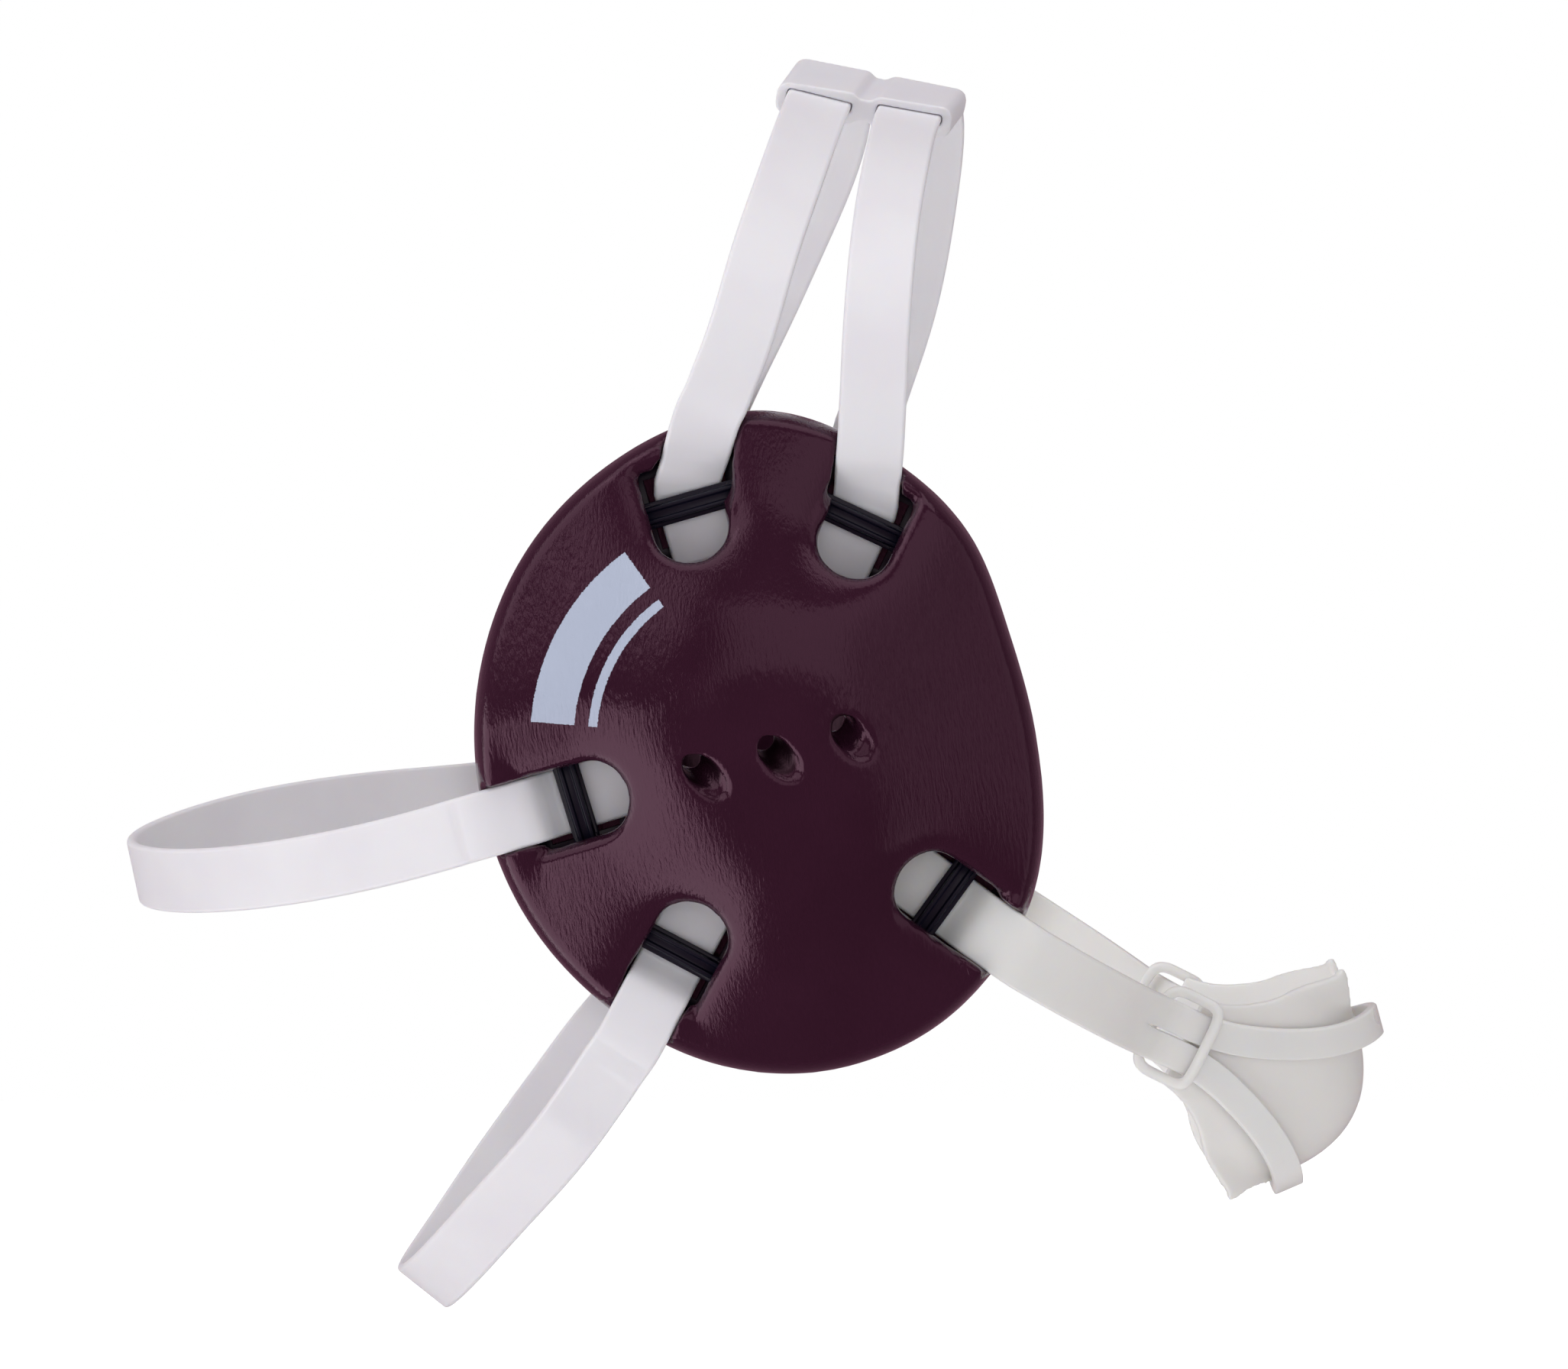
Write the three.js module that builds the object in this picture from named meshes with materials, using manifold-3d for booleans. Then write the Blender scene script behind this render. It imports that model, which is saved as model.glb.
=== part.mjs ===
// Wrestling ear guard: two padded ear cups joined by soft straps over the crown, behind the
// head, round the nape and under the chin, with a slider on the crown and a moulded chin cup.
// Millimetres. +X is forward, +Y is the wearer's left, +Z is up.
// The origin is where the straps rest on the crown of the head, in the middle plane.

import * as THREE from 'three';
import { mergeVertices } from 'three/addons/utils/BufferGeometryUtils.js';
import Module from 'manifold-3d';

const wasm = await Module();
wasm.setup();

// Gap kept between pieces that touch, and the sizes that the whole guard hangs on
const clearance = 0.35;
const crownHeight = 125.5;
const crownForward = 21.8;
const padFace = 76;

// Ear cup, seen from its side
const cupWidth = 109.2;
const cupHeight = 128.6;
const cupDepth = 29;
const cupWall = 6;
const rimEdge = 7;
const rimRound = 4.6;
const cavityWidth = 46;
const cavityHeight = 60;
const creaseSoftness = 1.3;
const slotDip = 2.4;
const slotDipReach = 5;

// Slots for the straps, measured from the middle of the anchor's bar
const slotWidth = 17;
const slotInboard = 10;
const slotOutboard = 9.5;
const slotCorner = 1.6;

// Straps: their bed is the height over the pad's face at which they lie in a slot, and they rise
// from there over the bridge of shell outside the slot and fall a little past it
const strapWidth = 12.4;
const strapThickness = 2;
const strapBed = 7.3;
const bridgeRise = 4.6;
const bridgeBend = 0.6;
const bridgeLength = 3;
const bridgeFall = 0.12;
const strapRunOut = 13;
const strapTurn = 3.5;
const channelHeadroom = 6;
const tailLength = 9.4;
const stationStep = 6.5;

// Anchors that hold the straps in the slots
const anchorWidth = 20.8;
const anchorRail = 2.7;
const anchorEndBar = 2.2;
const anchorBarWidth = 4.2;
const anchorPlate = 2.3;
const anchorBarHeight = 2.3;
const anchorBarShoulder = 0.6;
const anchorBarCrest = 0.35;

// Vents through the middle of a cup
const ventRadius = 3.3;
const ventTilt = 45;
const ventLean = -47;
const ventPitch = 14.4;
const ventRowLean = 15;
const ventForward = 4;
const ventUp = -3.7;

// Slider on the crown
const sliderLength = 34.8;
const sliderDepth = 22;
const sliderHeight = 6.6;
const sliderOffset = -9;
const sliderGroove = 1.1;
const sliderWaist = 3.2;
const sliderCorner = 2.4;

// Chin cup
const chinForward = 106.2;
const chinDrop = 73.2;
const chinTilt = 26.4;
const chinHalfWidth = 36;
const chinDepth = 40;
const chinSetback = 24;
const chinHeight = 40;
const chinWall = 2;
const chinFlare = 6;
const chinLoopWire = 1.25;
const chinLoopRoundness = 0.4;
const chinBowlFall = 0.34;
const chinLoopPlace = 0.97;
const chinTabReach = 1.07;
const bandSpread = 34;
const bandLift = 1.2;
const slitGap = 0.4;

// Reach of the loose loops, from the ear axis
const backReach = 127;
const napeDrop = 116;

// Colours of the real materials
const maroonVinyl = { color: 0x3b1d2e, roughness: 0.28, metalness: 0 };
const whiteVinyl = { color: 0xdedbe2, roughness: 0.45, metalness: 0 };
const warmWhiteVinyl = { color: 0xe2e0da, roughness: 0.4, metalness: 0 };
const blackPlastic = { color: 0x0e0e16, roughness: 0.35, metalness: 0 };

// Outline of a cup: reach as a share of its half sizes, at angles that turn up from forward
const cupOutline = [
  { angle: 0, reach: 0.982 },
  { angle: 19, reach: 0.94 },
  { angle: 40, reach: 0.962 },
  { angle: 64, reach: 0.957 },
  { angle: 90, reach: 0.981 },
  { angle: 122, reach: 0.979 },
  { angle: 154, reach: 1.009 },
  { angle: 180, reach: 1.018 },
  { angle: 206, reach: 1.004 },
  { angle: 236, reach: 0.986 },
  { angle: 262, reach: 1.008 },
  { angle: 288, reach: 1.05 },
  { angle: 312, reach: 1.088 },
  { angle: 334, reach: 1.084 },
];

// Petals of the outer face: where each starts to fall, as a share of the mean half size, and its slope
const petals = [
  { angle: 12, start: 0.275, slope: 0.43 },
  { angle: 86, start: 0.35, slope: 0.4 },
  { angle: 152, start: 0.28, slope: 0.42 },
  { angle: 218, start: 0.26, slope: 0.38 },
  { angle: 276, start: 0.42, slope: 0.43 },
];

// Inside of a cup, from the lip of its pad to the top of the ear cavity: shares of the cavity's
// half sizes and of its depth
const cavityProfile = [
  { size: 1.14, depth: 0 },
  { size: 1.0, depth: 0.09 },
  { size: 0.965, depth: 0.36 },
  { size: 0.93, depth: 0.62 },
  { size: 0.85, depth: 0.81 },
  { size: 0.68, depth: 0.93 },
  { size: 0.38, depth: 0.985 },
];

// Slots: middle of the anchor's bar as shares of the half sizes, the way the slot points and the
// way its strap leaves
const slots = {
  crown_front: { forward: 0.346, up: 0.647, angle: 65, strapAngle: 85.5 },
  crown_rear: { forward: -0.244, up: 0.697, angle: 106, strapAngle: 72.8 },
  back: { forward: -0.657, up: -0.184, angle: 197, strapAngle: 196.4 },
  nape: { forward: -0.293, up: -0.647, angle: 247, strapAngle: 242 },
  chin: { forward: 0.65, up: -0.49, angle: -36, strapAngle: -35 },
};

// Loose runs of the straps, from the right cup to the left: shares of the named reach forward and
// up, and of the half span between the cups across. Lean is the angle of the strap's width,
// seen from the side.
const crownRearRun = [
  { forward: -0.052, up: 0.548, across: -1.02, lean: -17 },
  { forward: -0.022, up: 0.645, across: -0.97, lean: -17 },
  { forward: 0.002, up: 0.735, across: -0.86, lean: -16 },
  { forward: 0.035, up: 0.831, across: -0.7, lean: -16 },
  { forward: 0.06, up: 0.912, across: -0.53, lean: -15 },
  { forward: 0.08, up: 0.972, across: -0.34, lean: -13 },
  { forward: 0.093, up: 1.003, across: -0.17, lean: -11 },
  { forward: 0.106, up: 1.012, across: -0.03, lean: -11 },
  { forward: 0.121, up: 0.996, across: 0.15, lean: -12 },
  { forward: 0.122, up: 0.94, across: 0.38, lean: -18 },
  { forward: 0.1, up: 0.873, across: 0.57, lean: -22 },
  { forward: 0.05, up: 0.773, across: 0.78, lean: -22 },
  { forward: 0.008, up: 0.68, across: 0.92, lean: -20 },
  { forward: -0.033, up: 0.594, across: 1.0, lean: -18 },
];
const crownFrontRun = [
  { forward: 0.174, up: 0.548, across: -1.02, lean: -4 },
  { forward: 0.182, up: 0.66, across: -0.94, lean: -4 },
  { forward: 0.19, up: 0.75, across: -0.84, lean: -5 },
  { forward: 0.204, up: 0.843, across: -0.68, lean: -7 },
  { forward: 0.221, up: 0.918, across: -0.5, lean: -9 },
  { forward: 0.234, up: 0.958, across: -0.32, lean: -10 },
  { forward: 0.243, up: 0.978, across: -0.17, lean: -10.5 },
  { forward: 0.254, up: 0.986, across: -0.03, lean: -10.5 },
  { forward: 0.268, up: 0.977, across: 0.15, lean: -10 },
  { forward: 0.278, up: 0.93, across: 0.37, lean: -6 },
  { forward: 0.272, up: 0.85, across: 0.58, lean: -5 },
  { forward: 0.258, up: 0.75, across: 0.77, lean: -6 },
  { forward: 0.236, up: 0.65, across: 0.92, lean: -6 },
  { forward: 0.208, up: 0.56, across: 1.0, lean: -5 },
];
const backRun = [
  { forward: -0.545, up: -0.173, across: -0.93, lean: 106 },
  { forward: -0.65, up: -0.2, across: -0.82, lean: 105 },
  { forward: -0.765, up: -0.224, across: -0.66, lean: 104 },
  { forward: -0.866, up: -0.239, across: -0.48, lean: 103 },
  { forward: -0.948, up: -0.245, across: -0.27, lean: 102 },
  { forward: -0.996, up: -0.241, across: -0.06, lean: 102 },
  { forward: -0.99, up: -0.226, across: 0.13, lean: 102 },
  { forward: -0.93, up: -0.203, across: 0.33, lean: 102 },
  { forward: -0.83, up: -0.178, across: 0.53, lean: 102 },
  { forward: -0.715, up: -0.162, across: 0.71, lean: 103 },
  { forward: -0.6, up: -0.152, across: 0.87, lean: 105 },
];
const napeRun = [
  { forward: -0.262, up: -0.575, across: -0.97, lean: 151 },
  { forward: -0.32, up: -0.665, across: -0.85, lean: 149 },
  { forward: -0.385, up: -0.75, across: -0.68, lean: 146 },
  { forward: -0.452, up: -0.83, across: -0.5, lean: 144 },
  { forward: -0.525, up: -0.92, across: -0.29, lean: 142 },
  { forward: -0.583, up: -0.985, across: -0.09, lean: 141.5 },
  { forward: -0.594, up: -0.989, across: 0.07, lean: 141.5 },
  { forward: -0.55, up: -0.93, across: 0.26, lean: 142 },
  { forward: -0.487, up: -0.84, across: 0.49, lean: 144 },
  { forward: -0.42, up: -0.75, across: 0.68, lean: 147 },
  { forward: -0.345, up: -0.655, across: 0.85, lean: 150 },
  { forward: -0.276, up: -0.56, across: 0.97, lean: 152 },
];
const chinRun = [
  { forward: 0.556, up: -0.447, across: -0.96, lean: -122 },
  { forward: 0.628, up: -0.486, across: -0.85, lean: -120 },
  { forward: 0.69, up: -0.523, across: -0.7, lean: -118 },
];

const radians = (degrees) => THREE.MathUtils.degToRad(degrees);
const halfWidth = cupWidth / 2;
const halfHeight = cupHeight / 2;
const meanHalf = (halfWidth + halfHeight) / 2;
const halfSpan = padFace + strapBed + strapThickness / 2;

// Direction in the side view that turns up from forward
function heading(degrees) {
  return new THREE.Vector3(Math.cos(radians(degrees)), 0, Math.sin(radians(degrees)));
}

// Closed skin over rings of points; each end is closed by a fan, or left when it has a tip
function skinRings(rings, tips = []) {
  const corners = rings.flat();
  const count = rings[0].length;
  const faces = [];
  for (let row = 0; row + 1 < rings.length; row += 1) {
    for (let column = 0; column < count; column += 1) {
      const here = row * count + column;
      const next = row * count + (column + 1) % count;
      faces.push([here, next, next + count], [here, next + count, here + count]);
    }
  }
  const last = (rings.length - 1) * count;
  if (tips.length === 2) {
    const [firstTip, lastTip] = [corners.push(tips[0]) - 1, corners.push(tips[1]) - 1];
    for (let column = 0; column < count; column += 1) {
      const next = (column + 1) % count;
      faces.push([firstTip, next, column], [lastTip, last + column, last + next]);
    }
  } else {
    for (let column = 1; column + 1 < count; column += 1) {
      faces.push([0, column + 1, column], [last, last + column, last + column + 1]);
    }
  }
  return outwardGeometry(corners, faces);
}

// Geometry from corners and faces, turned so that its faces point out
function outwardGeometry(corners, faces) {
  let volume = 0;
  for (const [a, b, c] of faces) {
    volume += corners[a].dot(new THREE.Vector3().crossVectors(corners[b], corners[c]));
  }
  const index = faces.flatMap(([a, b, c]) => (volume < 0 ? [a, c, b] : [a, b, c]));
  const geometry = new THREE.BufferGeometry().setFromPoints(corners);
  geometry.setIndex(index);
  return geometry;
}

function solidOf(geometry) {
  const bare = geometry.clone();
  bare.deleteAttribute('normal');
  bare.deleteAttribute('uv');
  const merged = mergeVertices(bare, 1e-4);
  const vertProperties = Float32Array.from(merged.attributes.position.array);
  const triVerts = Uint32Array.from(merged.index.array);
  return new wasm.Manifold(new wasm.Mesh({ numProp: 3, vertProperties, triVerts }));
}

function geometryOf(solid) {
  const { vertProperties, triVerts } = solid.getMesh();
  const geometry = new THREE.BufferGeometry();
  geometry.setAttribute('position', new THREE.Float32BufferAttribute(vertProperties, 3));
  geometry.setIndex(Array.from(triVerts));
  geometry.computeVertexNormals();
  return geometry;
}

// The same shape on the wearer's other side
function mirrored(geometry) {
  const twin = geometry.clone();
  twin.scale(1, -1, 1);
  const index = twin.index.array;
  for (let corner = 0; corner < index.length; corner += 3) {
    [index[corner + 1], index[corner + 2]] = [index[corner + 2], index[corner + 1]];
  }
  twin.computeVertexNormals();
  return twin;
}

// Smooth closed curve through the rows of the outline
function outlineShare(degrees) {
  const turn = ((degrees % 360) + 360) % 360;
  const count = cupOutline.length;
  const row = cupOutline.findLastIndex((entry) => entry.angle <= turn);
  const at = (step) => {
    const wrapped = row + step;
    const entry = cupOutline[(wrapped + count) % count];
    return { angle: entry.angle + 360 * Math.floor(wrapped / count), reach: entry.reach };
  };
  const [before, start, end, after] = [at(-1), at(0), at(1), at(2)];
  const span = end.angle - start.angle;
  const share = (turn - start.angle) / span;
  const startSlope = (end.reach - before.reach) / (end.angle - before.angle) * span;
  const endSlope = (after.reach - start.reach) / (after.angle - start.angle) * span;
  const [square, cube] = [share ** 2, share ** 3];
  return start.reach * (2 * cube - 3 * square + 1) + startSlope * (cube - 2 * square + share)
    + end.reach * (3 * square - 2 * cube) + endSlope * (cube - square);
}

// Distance from the middle to the outline, in the direction of a point of the side view
function outlineReach(forward, height) {
  const share = outlineShare(THREE.MathUtils.radToDeg(Math.atan2(height / halfHeight, forward / halfWidth)));
  const unit = Math.hypot(forward / halfWidth, height / halfHeight);
  return share * Math.hypot(forward, height) / Math.max(unit, 1e-6);
}

function slotBar(slot) {
  return new THREE.Vector3(slot.forward * halfWidth, 0, slot.up * halfHeight);
}

// Distance outside a slot's edge in the side view, negative inside it
function slotDistance(slot, forward, height) {
  const offset = new THREE.Vector3(forward, 0, height).sub(slotBar(slot));
  const along = offset.dot(heading(slot.angle));
  const across = Math.abs(offset.dot(heading(slot.angle + 90)));
  const endCentre = slotWidth / 2 - slotInboard;
  const inward = Math.max(endCentre - along, 0);
  const outward = Math.max(along - slotOutboard, 0);
  return inward > 0 ? Math.hypot(inward, across) - slotWidth / 2
    : Math.hypot(outward, Math.max(across - slotWidth / 2, 0)) || across - slotWidth / 2;
}

// Height of the outer face over the pad's face: a flat crown with petals falling from it,
// dipped around the slots
function faceHeight(forward, height) {
  let sum = Math.exp(-cupDepth / creaseSoftness);
  for (const petal of petals) {
    const along = new THREE.Vector3(forward, 0, height).dot(heading(petal.angle));
    const level = cupDepth - petal.slope * (along - petal.start * meanHalf);
    sum += Math.exp(-level / creaseSoftness);
  }
  let face = -creaseSoftness * Math.log(sum);
  for (const slot of Object.values(slots)) {
    const distance = Math.max(slotDistance(slot, forward, height), 0);
    face -= slotDip * Math.exp(-distance / slotDipReach);
  }
  return face;
}

// Outer face with the rounded rim: the face turns down to the rim's widest line
function outerHeight(forward, height) {
  const toEdge = outlineReach(forward, height) - Math.hypot(forward, height);
  const face = faceHeight(forward, height);
  if (toEdge >= rimRound) return face;
  const share = 1 - Math.max(toEdge, 0) / rimRound;
  return rimEdge + (face - rimEdge) * Math.sqrt(Math.max(1 - share * share, 0));
}

// A padded cup before its slots are cut, with its face towards -Y
function cupBlank() {
  const sectors = 36;
  const outerShares = [0.18, 0.34, 0.48, 0.61, 0.73, 0.83, 0.91, 0.955, 0.987];
  const rings = outerShares.map((share) => cupRing(sectors, (direction) => {
    const reach = outlineReach(direction.x, direction.z) * share;
    return [reach, outerHeight(direction.x * reach, direction.z * reach)];
  }));
  const rimRows = [[0, 1], [0.25, 0.35], [1, 0.04], [2.2, 0]];
  for (const [inset, share] of rimRows) {
    rings.push(cupRing(sectors, (direction) => [
      outlineReach(direction.x, direction.z) - inset * rimRound / 2, rimEdge * share,
    ]));
  }
  const cavityDepth = cupDepth - cupWall;
  for (const row of cavityProfile) {
    rings.push(cupRing(sectors, (direction) => {
      const ellipse = 1 / Math.hypot(direction.x / (cavityWidth / 2), direction.z / (cavityHeight / 2));
      return [ellipse * row.size, cavityDepth * row.depth];
    }));
  }
  const tips = [cupPoint(0, 0, faceHeight(0, 0)), cupPoint(0, 0, cavityDepth)];
  return skinRings(rings, tips);
}

function cupPoint(forward, height, over) {
  return new THREE.Vector3(forward, -padFace - over, height);
}

function cupRing(sectors, place) {
  return Array.from({ length: sectors }, (_, sector) => {
    const direction = heading(360 * sector / sectors);
    const [reach, over] = place(direction);
    return cupPoint(direction.x * reach, direction.z * reach, over);
  });
}

// Frame of a slot on the right cup: x points out of the slot, z out of the cup's face
function slotFrame(slot, side = -1) {
  const outboard = heading(slot.angle);
  const outward = new THREE.Vector3(0, side, 0);
  const along = new THREE.Vector3().crossVectors(outward, outboard);
  const frame = new THREE.Matrix4().makeBasis(outboard, along, outward);
  return frame.setPosition(slotBar(slot).add(new THREE.Vector3(0, side * padFace, 0)));
}

const plateBase = strapBed - clearance - anchorPlate;
const barBase = strapBed + strapThickness + clearance;
const pocketFloor = plateBase - clearance;
const pocketRoof = barBase + anchorBarHeight + clearance;

// The hole of a slot: straight at its outer end, round at its inner end
function slotHole() {
  const half = slotWidth / 2;
  const shape = new THREE.Shape();
  shape.moveTo(half - slotInboard, -half);
  shape.lineTo(slotOutboard - slotCorner, -half);
  shape.lineTo(slotOutboard, slotCorner - half);
  shape.lineTo(slotOutboard, half - slotCorner);
  shape.lineTo(slotOutboard - slotCorner, half);
  shape.lineTo(half - slotInboard, half);
  shape.absarc(half - slotInboard, 0, half, Math.PI / 2, 3 * Math.PI / 2, false);
  const hole = new THREE.ExtrudeGeometry(shape, {
    depth: cupDepth * 1.5 - pocketFloor, bevelEnabled: false, curveSegments: 12,
  });
  return hole.translate(0, 0, pocketFloor);
}

// Room for the anchor and the strap's tail, under the shell beside the slot
function anchorPocket() {
  const length = slotOutboard + tailLength + clearance * 2;
  const pocket = new THREE.BoxGeometry(length, anchorWidth + clearance * 2, pocketRoof - pocketFloor);
  return pocket.translate(slotOutboard - length / 2, 0, (pocketRoof + pocketFloor) / 2);
}

// Oblique bores from the outer face into the ear cavity
function ventBore(place) {
  const forward = ventForward + place * ventPitch * Math.cos(radians(ventRowLean));
  const height = ventUp + place * ventPitch * Math.sin(radians(ventRowLean));
  const axis = heading(ventLean).multiplyScalar(Math.sin(radians(ventTilt)));
  axis.y = -Math.cos(radians(ventTilt));
  const inner = cupWall * 2 / Math.cos(radians(ventTilt));
  const outer = ventRadius * 2;
  const bore = new THREE.CylinderGeometry(ventRadius, ventRadius, inner + outer, 14);
  bore.translate(0, (outer - inner) / 2, 0);
  const turn = new THREE.Quaternion().setFromUnitVectors(new THREE.Vector3(0, 1, 0), axis);
  bore.applyQuaternion(turn);
  const mouth = cupPoint(forward, height, outerHeight(forward, height));
  return bore.translate(mouth.x, mouth.y, mouth.z);
}

// Anchor: a flat frame under the strap with a raised bar over it
function anchorGeometry() {
  const outboardEnd = slotOutboard - clearance;
  const inboardEnd = tailLength - clearance;
  const length = outboardEnd + inboardEnd;
  const middle = (outboardEnd - inboardEnd) / 2;
  const block = (sizeX, sizeY, sizeZ, x, y, z) => solidOf(
    new THREE.BoxGeometry(sizeX, sizeY, sizeZ).translate(x, y, z),
  );
  const railRise = barBase - plateBase + anchorBarHeight / 2;
  let anchor = block(length, anchorWidth, anchorPlate, middle, 0, plateBase + anchorPlate / 2);
  anchor = anchor.subtract(block(length - anchorEndBar * 2, anchorWidth - anchorRail * 2,
    anchorPlate * 3, middle, 0, plateBase));
  for (const side of [-1, 1]) {
    const across = side * (anchorWidth - anchorRail) / 2;
    anchor = anchor.add(block(anchorBarWidth, anchorRail, railRise, 0, across, plateBase + railRise / 2));
  }
  const half = anchorBarWidth / 2;
  const bar = new THREE.Shape();
  bar.moveTo(-half, barBase);
  bar.lineTo(half, barBase);
  bar.lineTo(half, barBase + anchorBarHeight * anchorBarShoulder);
  bar.lineTo(half * anchorBarCrest, barBase + anchorBarHeight);
  bar.lineTo(-half * anchorBarCrest, barBase + anchorBarHeight);
  bar.lineTo(-half, barBase + anchorBarHeight * anchorBarShoulder);
  const rod = new THREE.ExtrudeGeometry(bar, { depth: anchorWidth, bevelEnabled: false });
  rod.rotateX(Math.PI / 2).translate(0, anchorWidth / 2, 0);
  return geometryOf(anchor.add(solidOf(rod)));
}

// Height of a strap's middle over the pad's face: low under the bar, up over the cup's bridge
function strapLevel(outboard) {
  const low = strapBed + strapThickness / 2;
  const start = anchorBarWidth / 2 + bridgeBend;
  const share = THREE.MathUtils.smoothstep(outboard, start, slotOutboard);
  const leave = Math.max(outboard - slotOutboard - bridgeLength, 0);
  return low + bridgeRise * share - leave * bridgeFall;
}

// Places along a strap in its slot, from the bar outwards, after its tail's end
const slotPlaces = [-6, -4, -2, 0, 1.5, 3, 4.5, 6, 7.5, 9, 11];

// Stations of a strap in its slot: middle, width direction and half width
function slotStations(slot, side) {
  const bar = slotBar(slot);
  const turnStart = anchorBarWidth / 2 + 1.5;
  const bridge = outlineReach(bar.x, bar.z) - bar.length() + bridgeLength;
  return [-tailLength + clearance, ...slotPlaces, Math.max(bridge, strapRunOut)].map((place) => {
    const straight = Math.min(place, turnStart);
    const middle = bar.clone().addScaledVector(heading(slot.angle), straight)
      .addScaledVector(heading(slot.strapAngle), place - straight);
    const turned = THREE.MathUtils.smoothstep(place, turnStart - strapTurn, turnStart + strapTurn);
    const angle = THREE.MathUtils.lerp(slot.angle, slot.strapAngle, turned) - 90;
    const edges = [-1, 1].map((sign) => {
      const edge = middle.clone().addScaledVector(heading(angle), sign * strapWidth / 2);
      const outboard = edge.clone().sub(bar).dot(heading(slot.angle));
      edge.y = side * (padFace + strapLevel(outboard));
      return edge;
    });
    const across = edges[1].clone().sub(edges[0]).multiplyScalar(0.5);
    return { middle: edges[0].clone().add(across), across, half: across.length() };
  });
}

function runStations(rows, reach) {
  return rows.map((row) => ({
    middle: new THREE.Vector3(row.forward * reach, row.across * halfSpan, row.up * reach),
    across: heading(row.lean), half: strapWidth / 2,
  }));
}

// Even stations on a smooth curve through the given ones, with the width square to the curve
function smoothStations(stations) {
  const curve = new THREE.CatmullRomCurve3(stations.map((station) => station.middle), false, 'centripetal');
  const last = stations.length - 1;
  const result = [];
  for (let row = 0; row <= last; row += 1) {
    const gap = row < last ? stations[row].middle.distanceTo(stations[row + 1].middle) : 0;
    const count = row < last ? Math.max(1, Math.round(gap / stationStep)) : 1;
    for (let step = 0; step < count; step += 1) {
      const share = step / count;
      const next = stations[Math.min(row + 1, last)];
      const t = (row + share) / last;
      const tangent = curve.getTangent(t);
      const across = stations[row].across.clone().normalize().lerp(next.across.clone().normalize(), share);
      across.addScaledVector(tangent, -across.dot(tangent)).normalize();
      const outward = new THREE.Vector3().crossVectors(across, tangent).normalize();
      const half = THREE.MathUtils.lerp(stations[row].half, next.half, share);
      result.push({ middle: curve.getPoint(t), across, outward, half });
    }
  }
  return result;
}

// Chin strap on one side, from its slot to where it splits
function chinStations(side, split = []) {
  const rows = runStations(chinRun, chinForward);
  rows.forEach((row) => { row.middle.y *= -side; });
  const stations = smoothStations([...slotStations(slots.chin, side), ...rows, ...split]);
  if (side > 0) stations.forEach((station) => station.outward.negate());
  return stations;
}

function stationPoint(station, acrossBy, outBy) {
  return station.middle.clone().addScaledVector(station.across, acrossBy)
    .addScaledVector(station.outward, outBy);
}

// Flat strap through stations, from under it to over it
function ribbon(stations, extraWidth = 0, under = strapThickness / 2, over = strapThickness / 2) {
  return skinRings(stations.map((station) => {
    const half = station.half + extraWidth;
    return [[half, over], [half, -under], [-half, -under], [-half, over]]
      .map(([across, out]) => stationPoint(station, across, out));
  }));
}

// Whole strap from the right cup's slot to the left one's
function strapStations(slot, rows, reach) {
  const right = slotStations(slot, -1);
  const left = slotStations(slot, 1).reverse();
  return smoothStations([...right, ...runStations(rows, reach), ...left]);
}

// Surface of the chin cup. Side goes from one loop, -1, to the other, 1, rise goes up it, and lift
// stands off its outer face.
const chinOut = heading(-chinTilt);
const chinRise = heading(90 - chinTilt);

function chinSurface(side, rise) {
  const front = 1 - side * side;
  const share = rise / (chinHeight / 2);
  const flare = chinFlare * THREE.MathUtils.smoothstep(Math.abs(share), 0.85, 1.35) * Math.max(front, 0);
  const depth = chinDepth * front * (1 - chinBowlFall * share * share) - chinSetback + flare;
  return new THREE.Vector3(chinForward, chinHalfWidth * side, -chinDrop)
    .addScaledVector(chinOut, depth).addScaledVector(chinRise, rise);
}

function chinPoint(side, rise, lift) {
  const [sideStep, riseStep] = [0.01, 0.5];
  const alongSide = chinSurface(side + sideStep, rise).sub(chinSurface(side - sideStep, rise));
  const alongRise = chinSurface(side, rise + riseStep).sub(chinSurface(side, rise - riseStep));
  const normal = new THREE.Vector3().crossVectors(alongSide, alongRise).normalize();
  return chinSurface(side, rise).addScaledVector(normal, lift);
}

// Edge of the chin cup: its reach up and down as shares of its height, from its front to its sides
const chinEdge = [
  { side: 0, upper: 0.46, lower: 0.48 },
  { side: 0.28, upper: 0.52, lower: 0.52 },
  { side: 0.5, upper: 0.66, lower: 0.62 },
  { side: 0.64, upper: 0.57, lower: 0.58 },
  { side: 0.78, upper: 0.4, lower: 0.44 },
  { side: 0.9, upper: 0.24, lower: 0.28 },
  { side: 1, upper: 0.2, lower: 0.22 },
  { side: chinTabReach, upper: 0.2, lower: 0.22 },
];

function chinEdgeAt(side, edge) {
  const size = Math.min(Math.abs(side), chinTabReach);
  const row = Math.min(chinEdge.findLastIndex((entry) => entry.side <= size), chinEdge.length - 2);
  const [start, end] = [chinEdge[row], chinEdge[row + 1]];
  const share = THREE.MathUtils.smoothstep(size, start.side, end.side);
  return THREE.MathUtils.lerp(start[edge], end[edge], share) * chinHeight;
}

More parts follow.
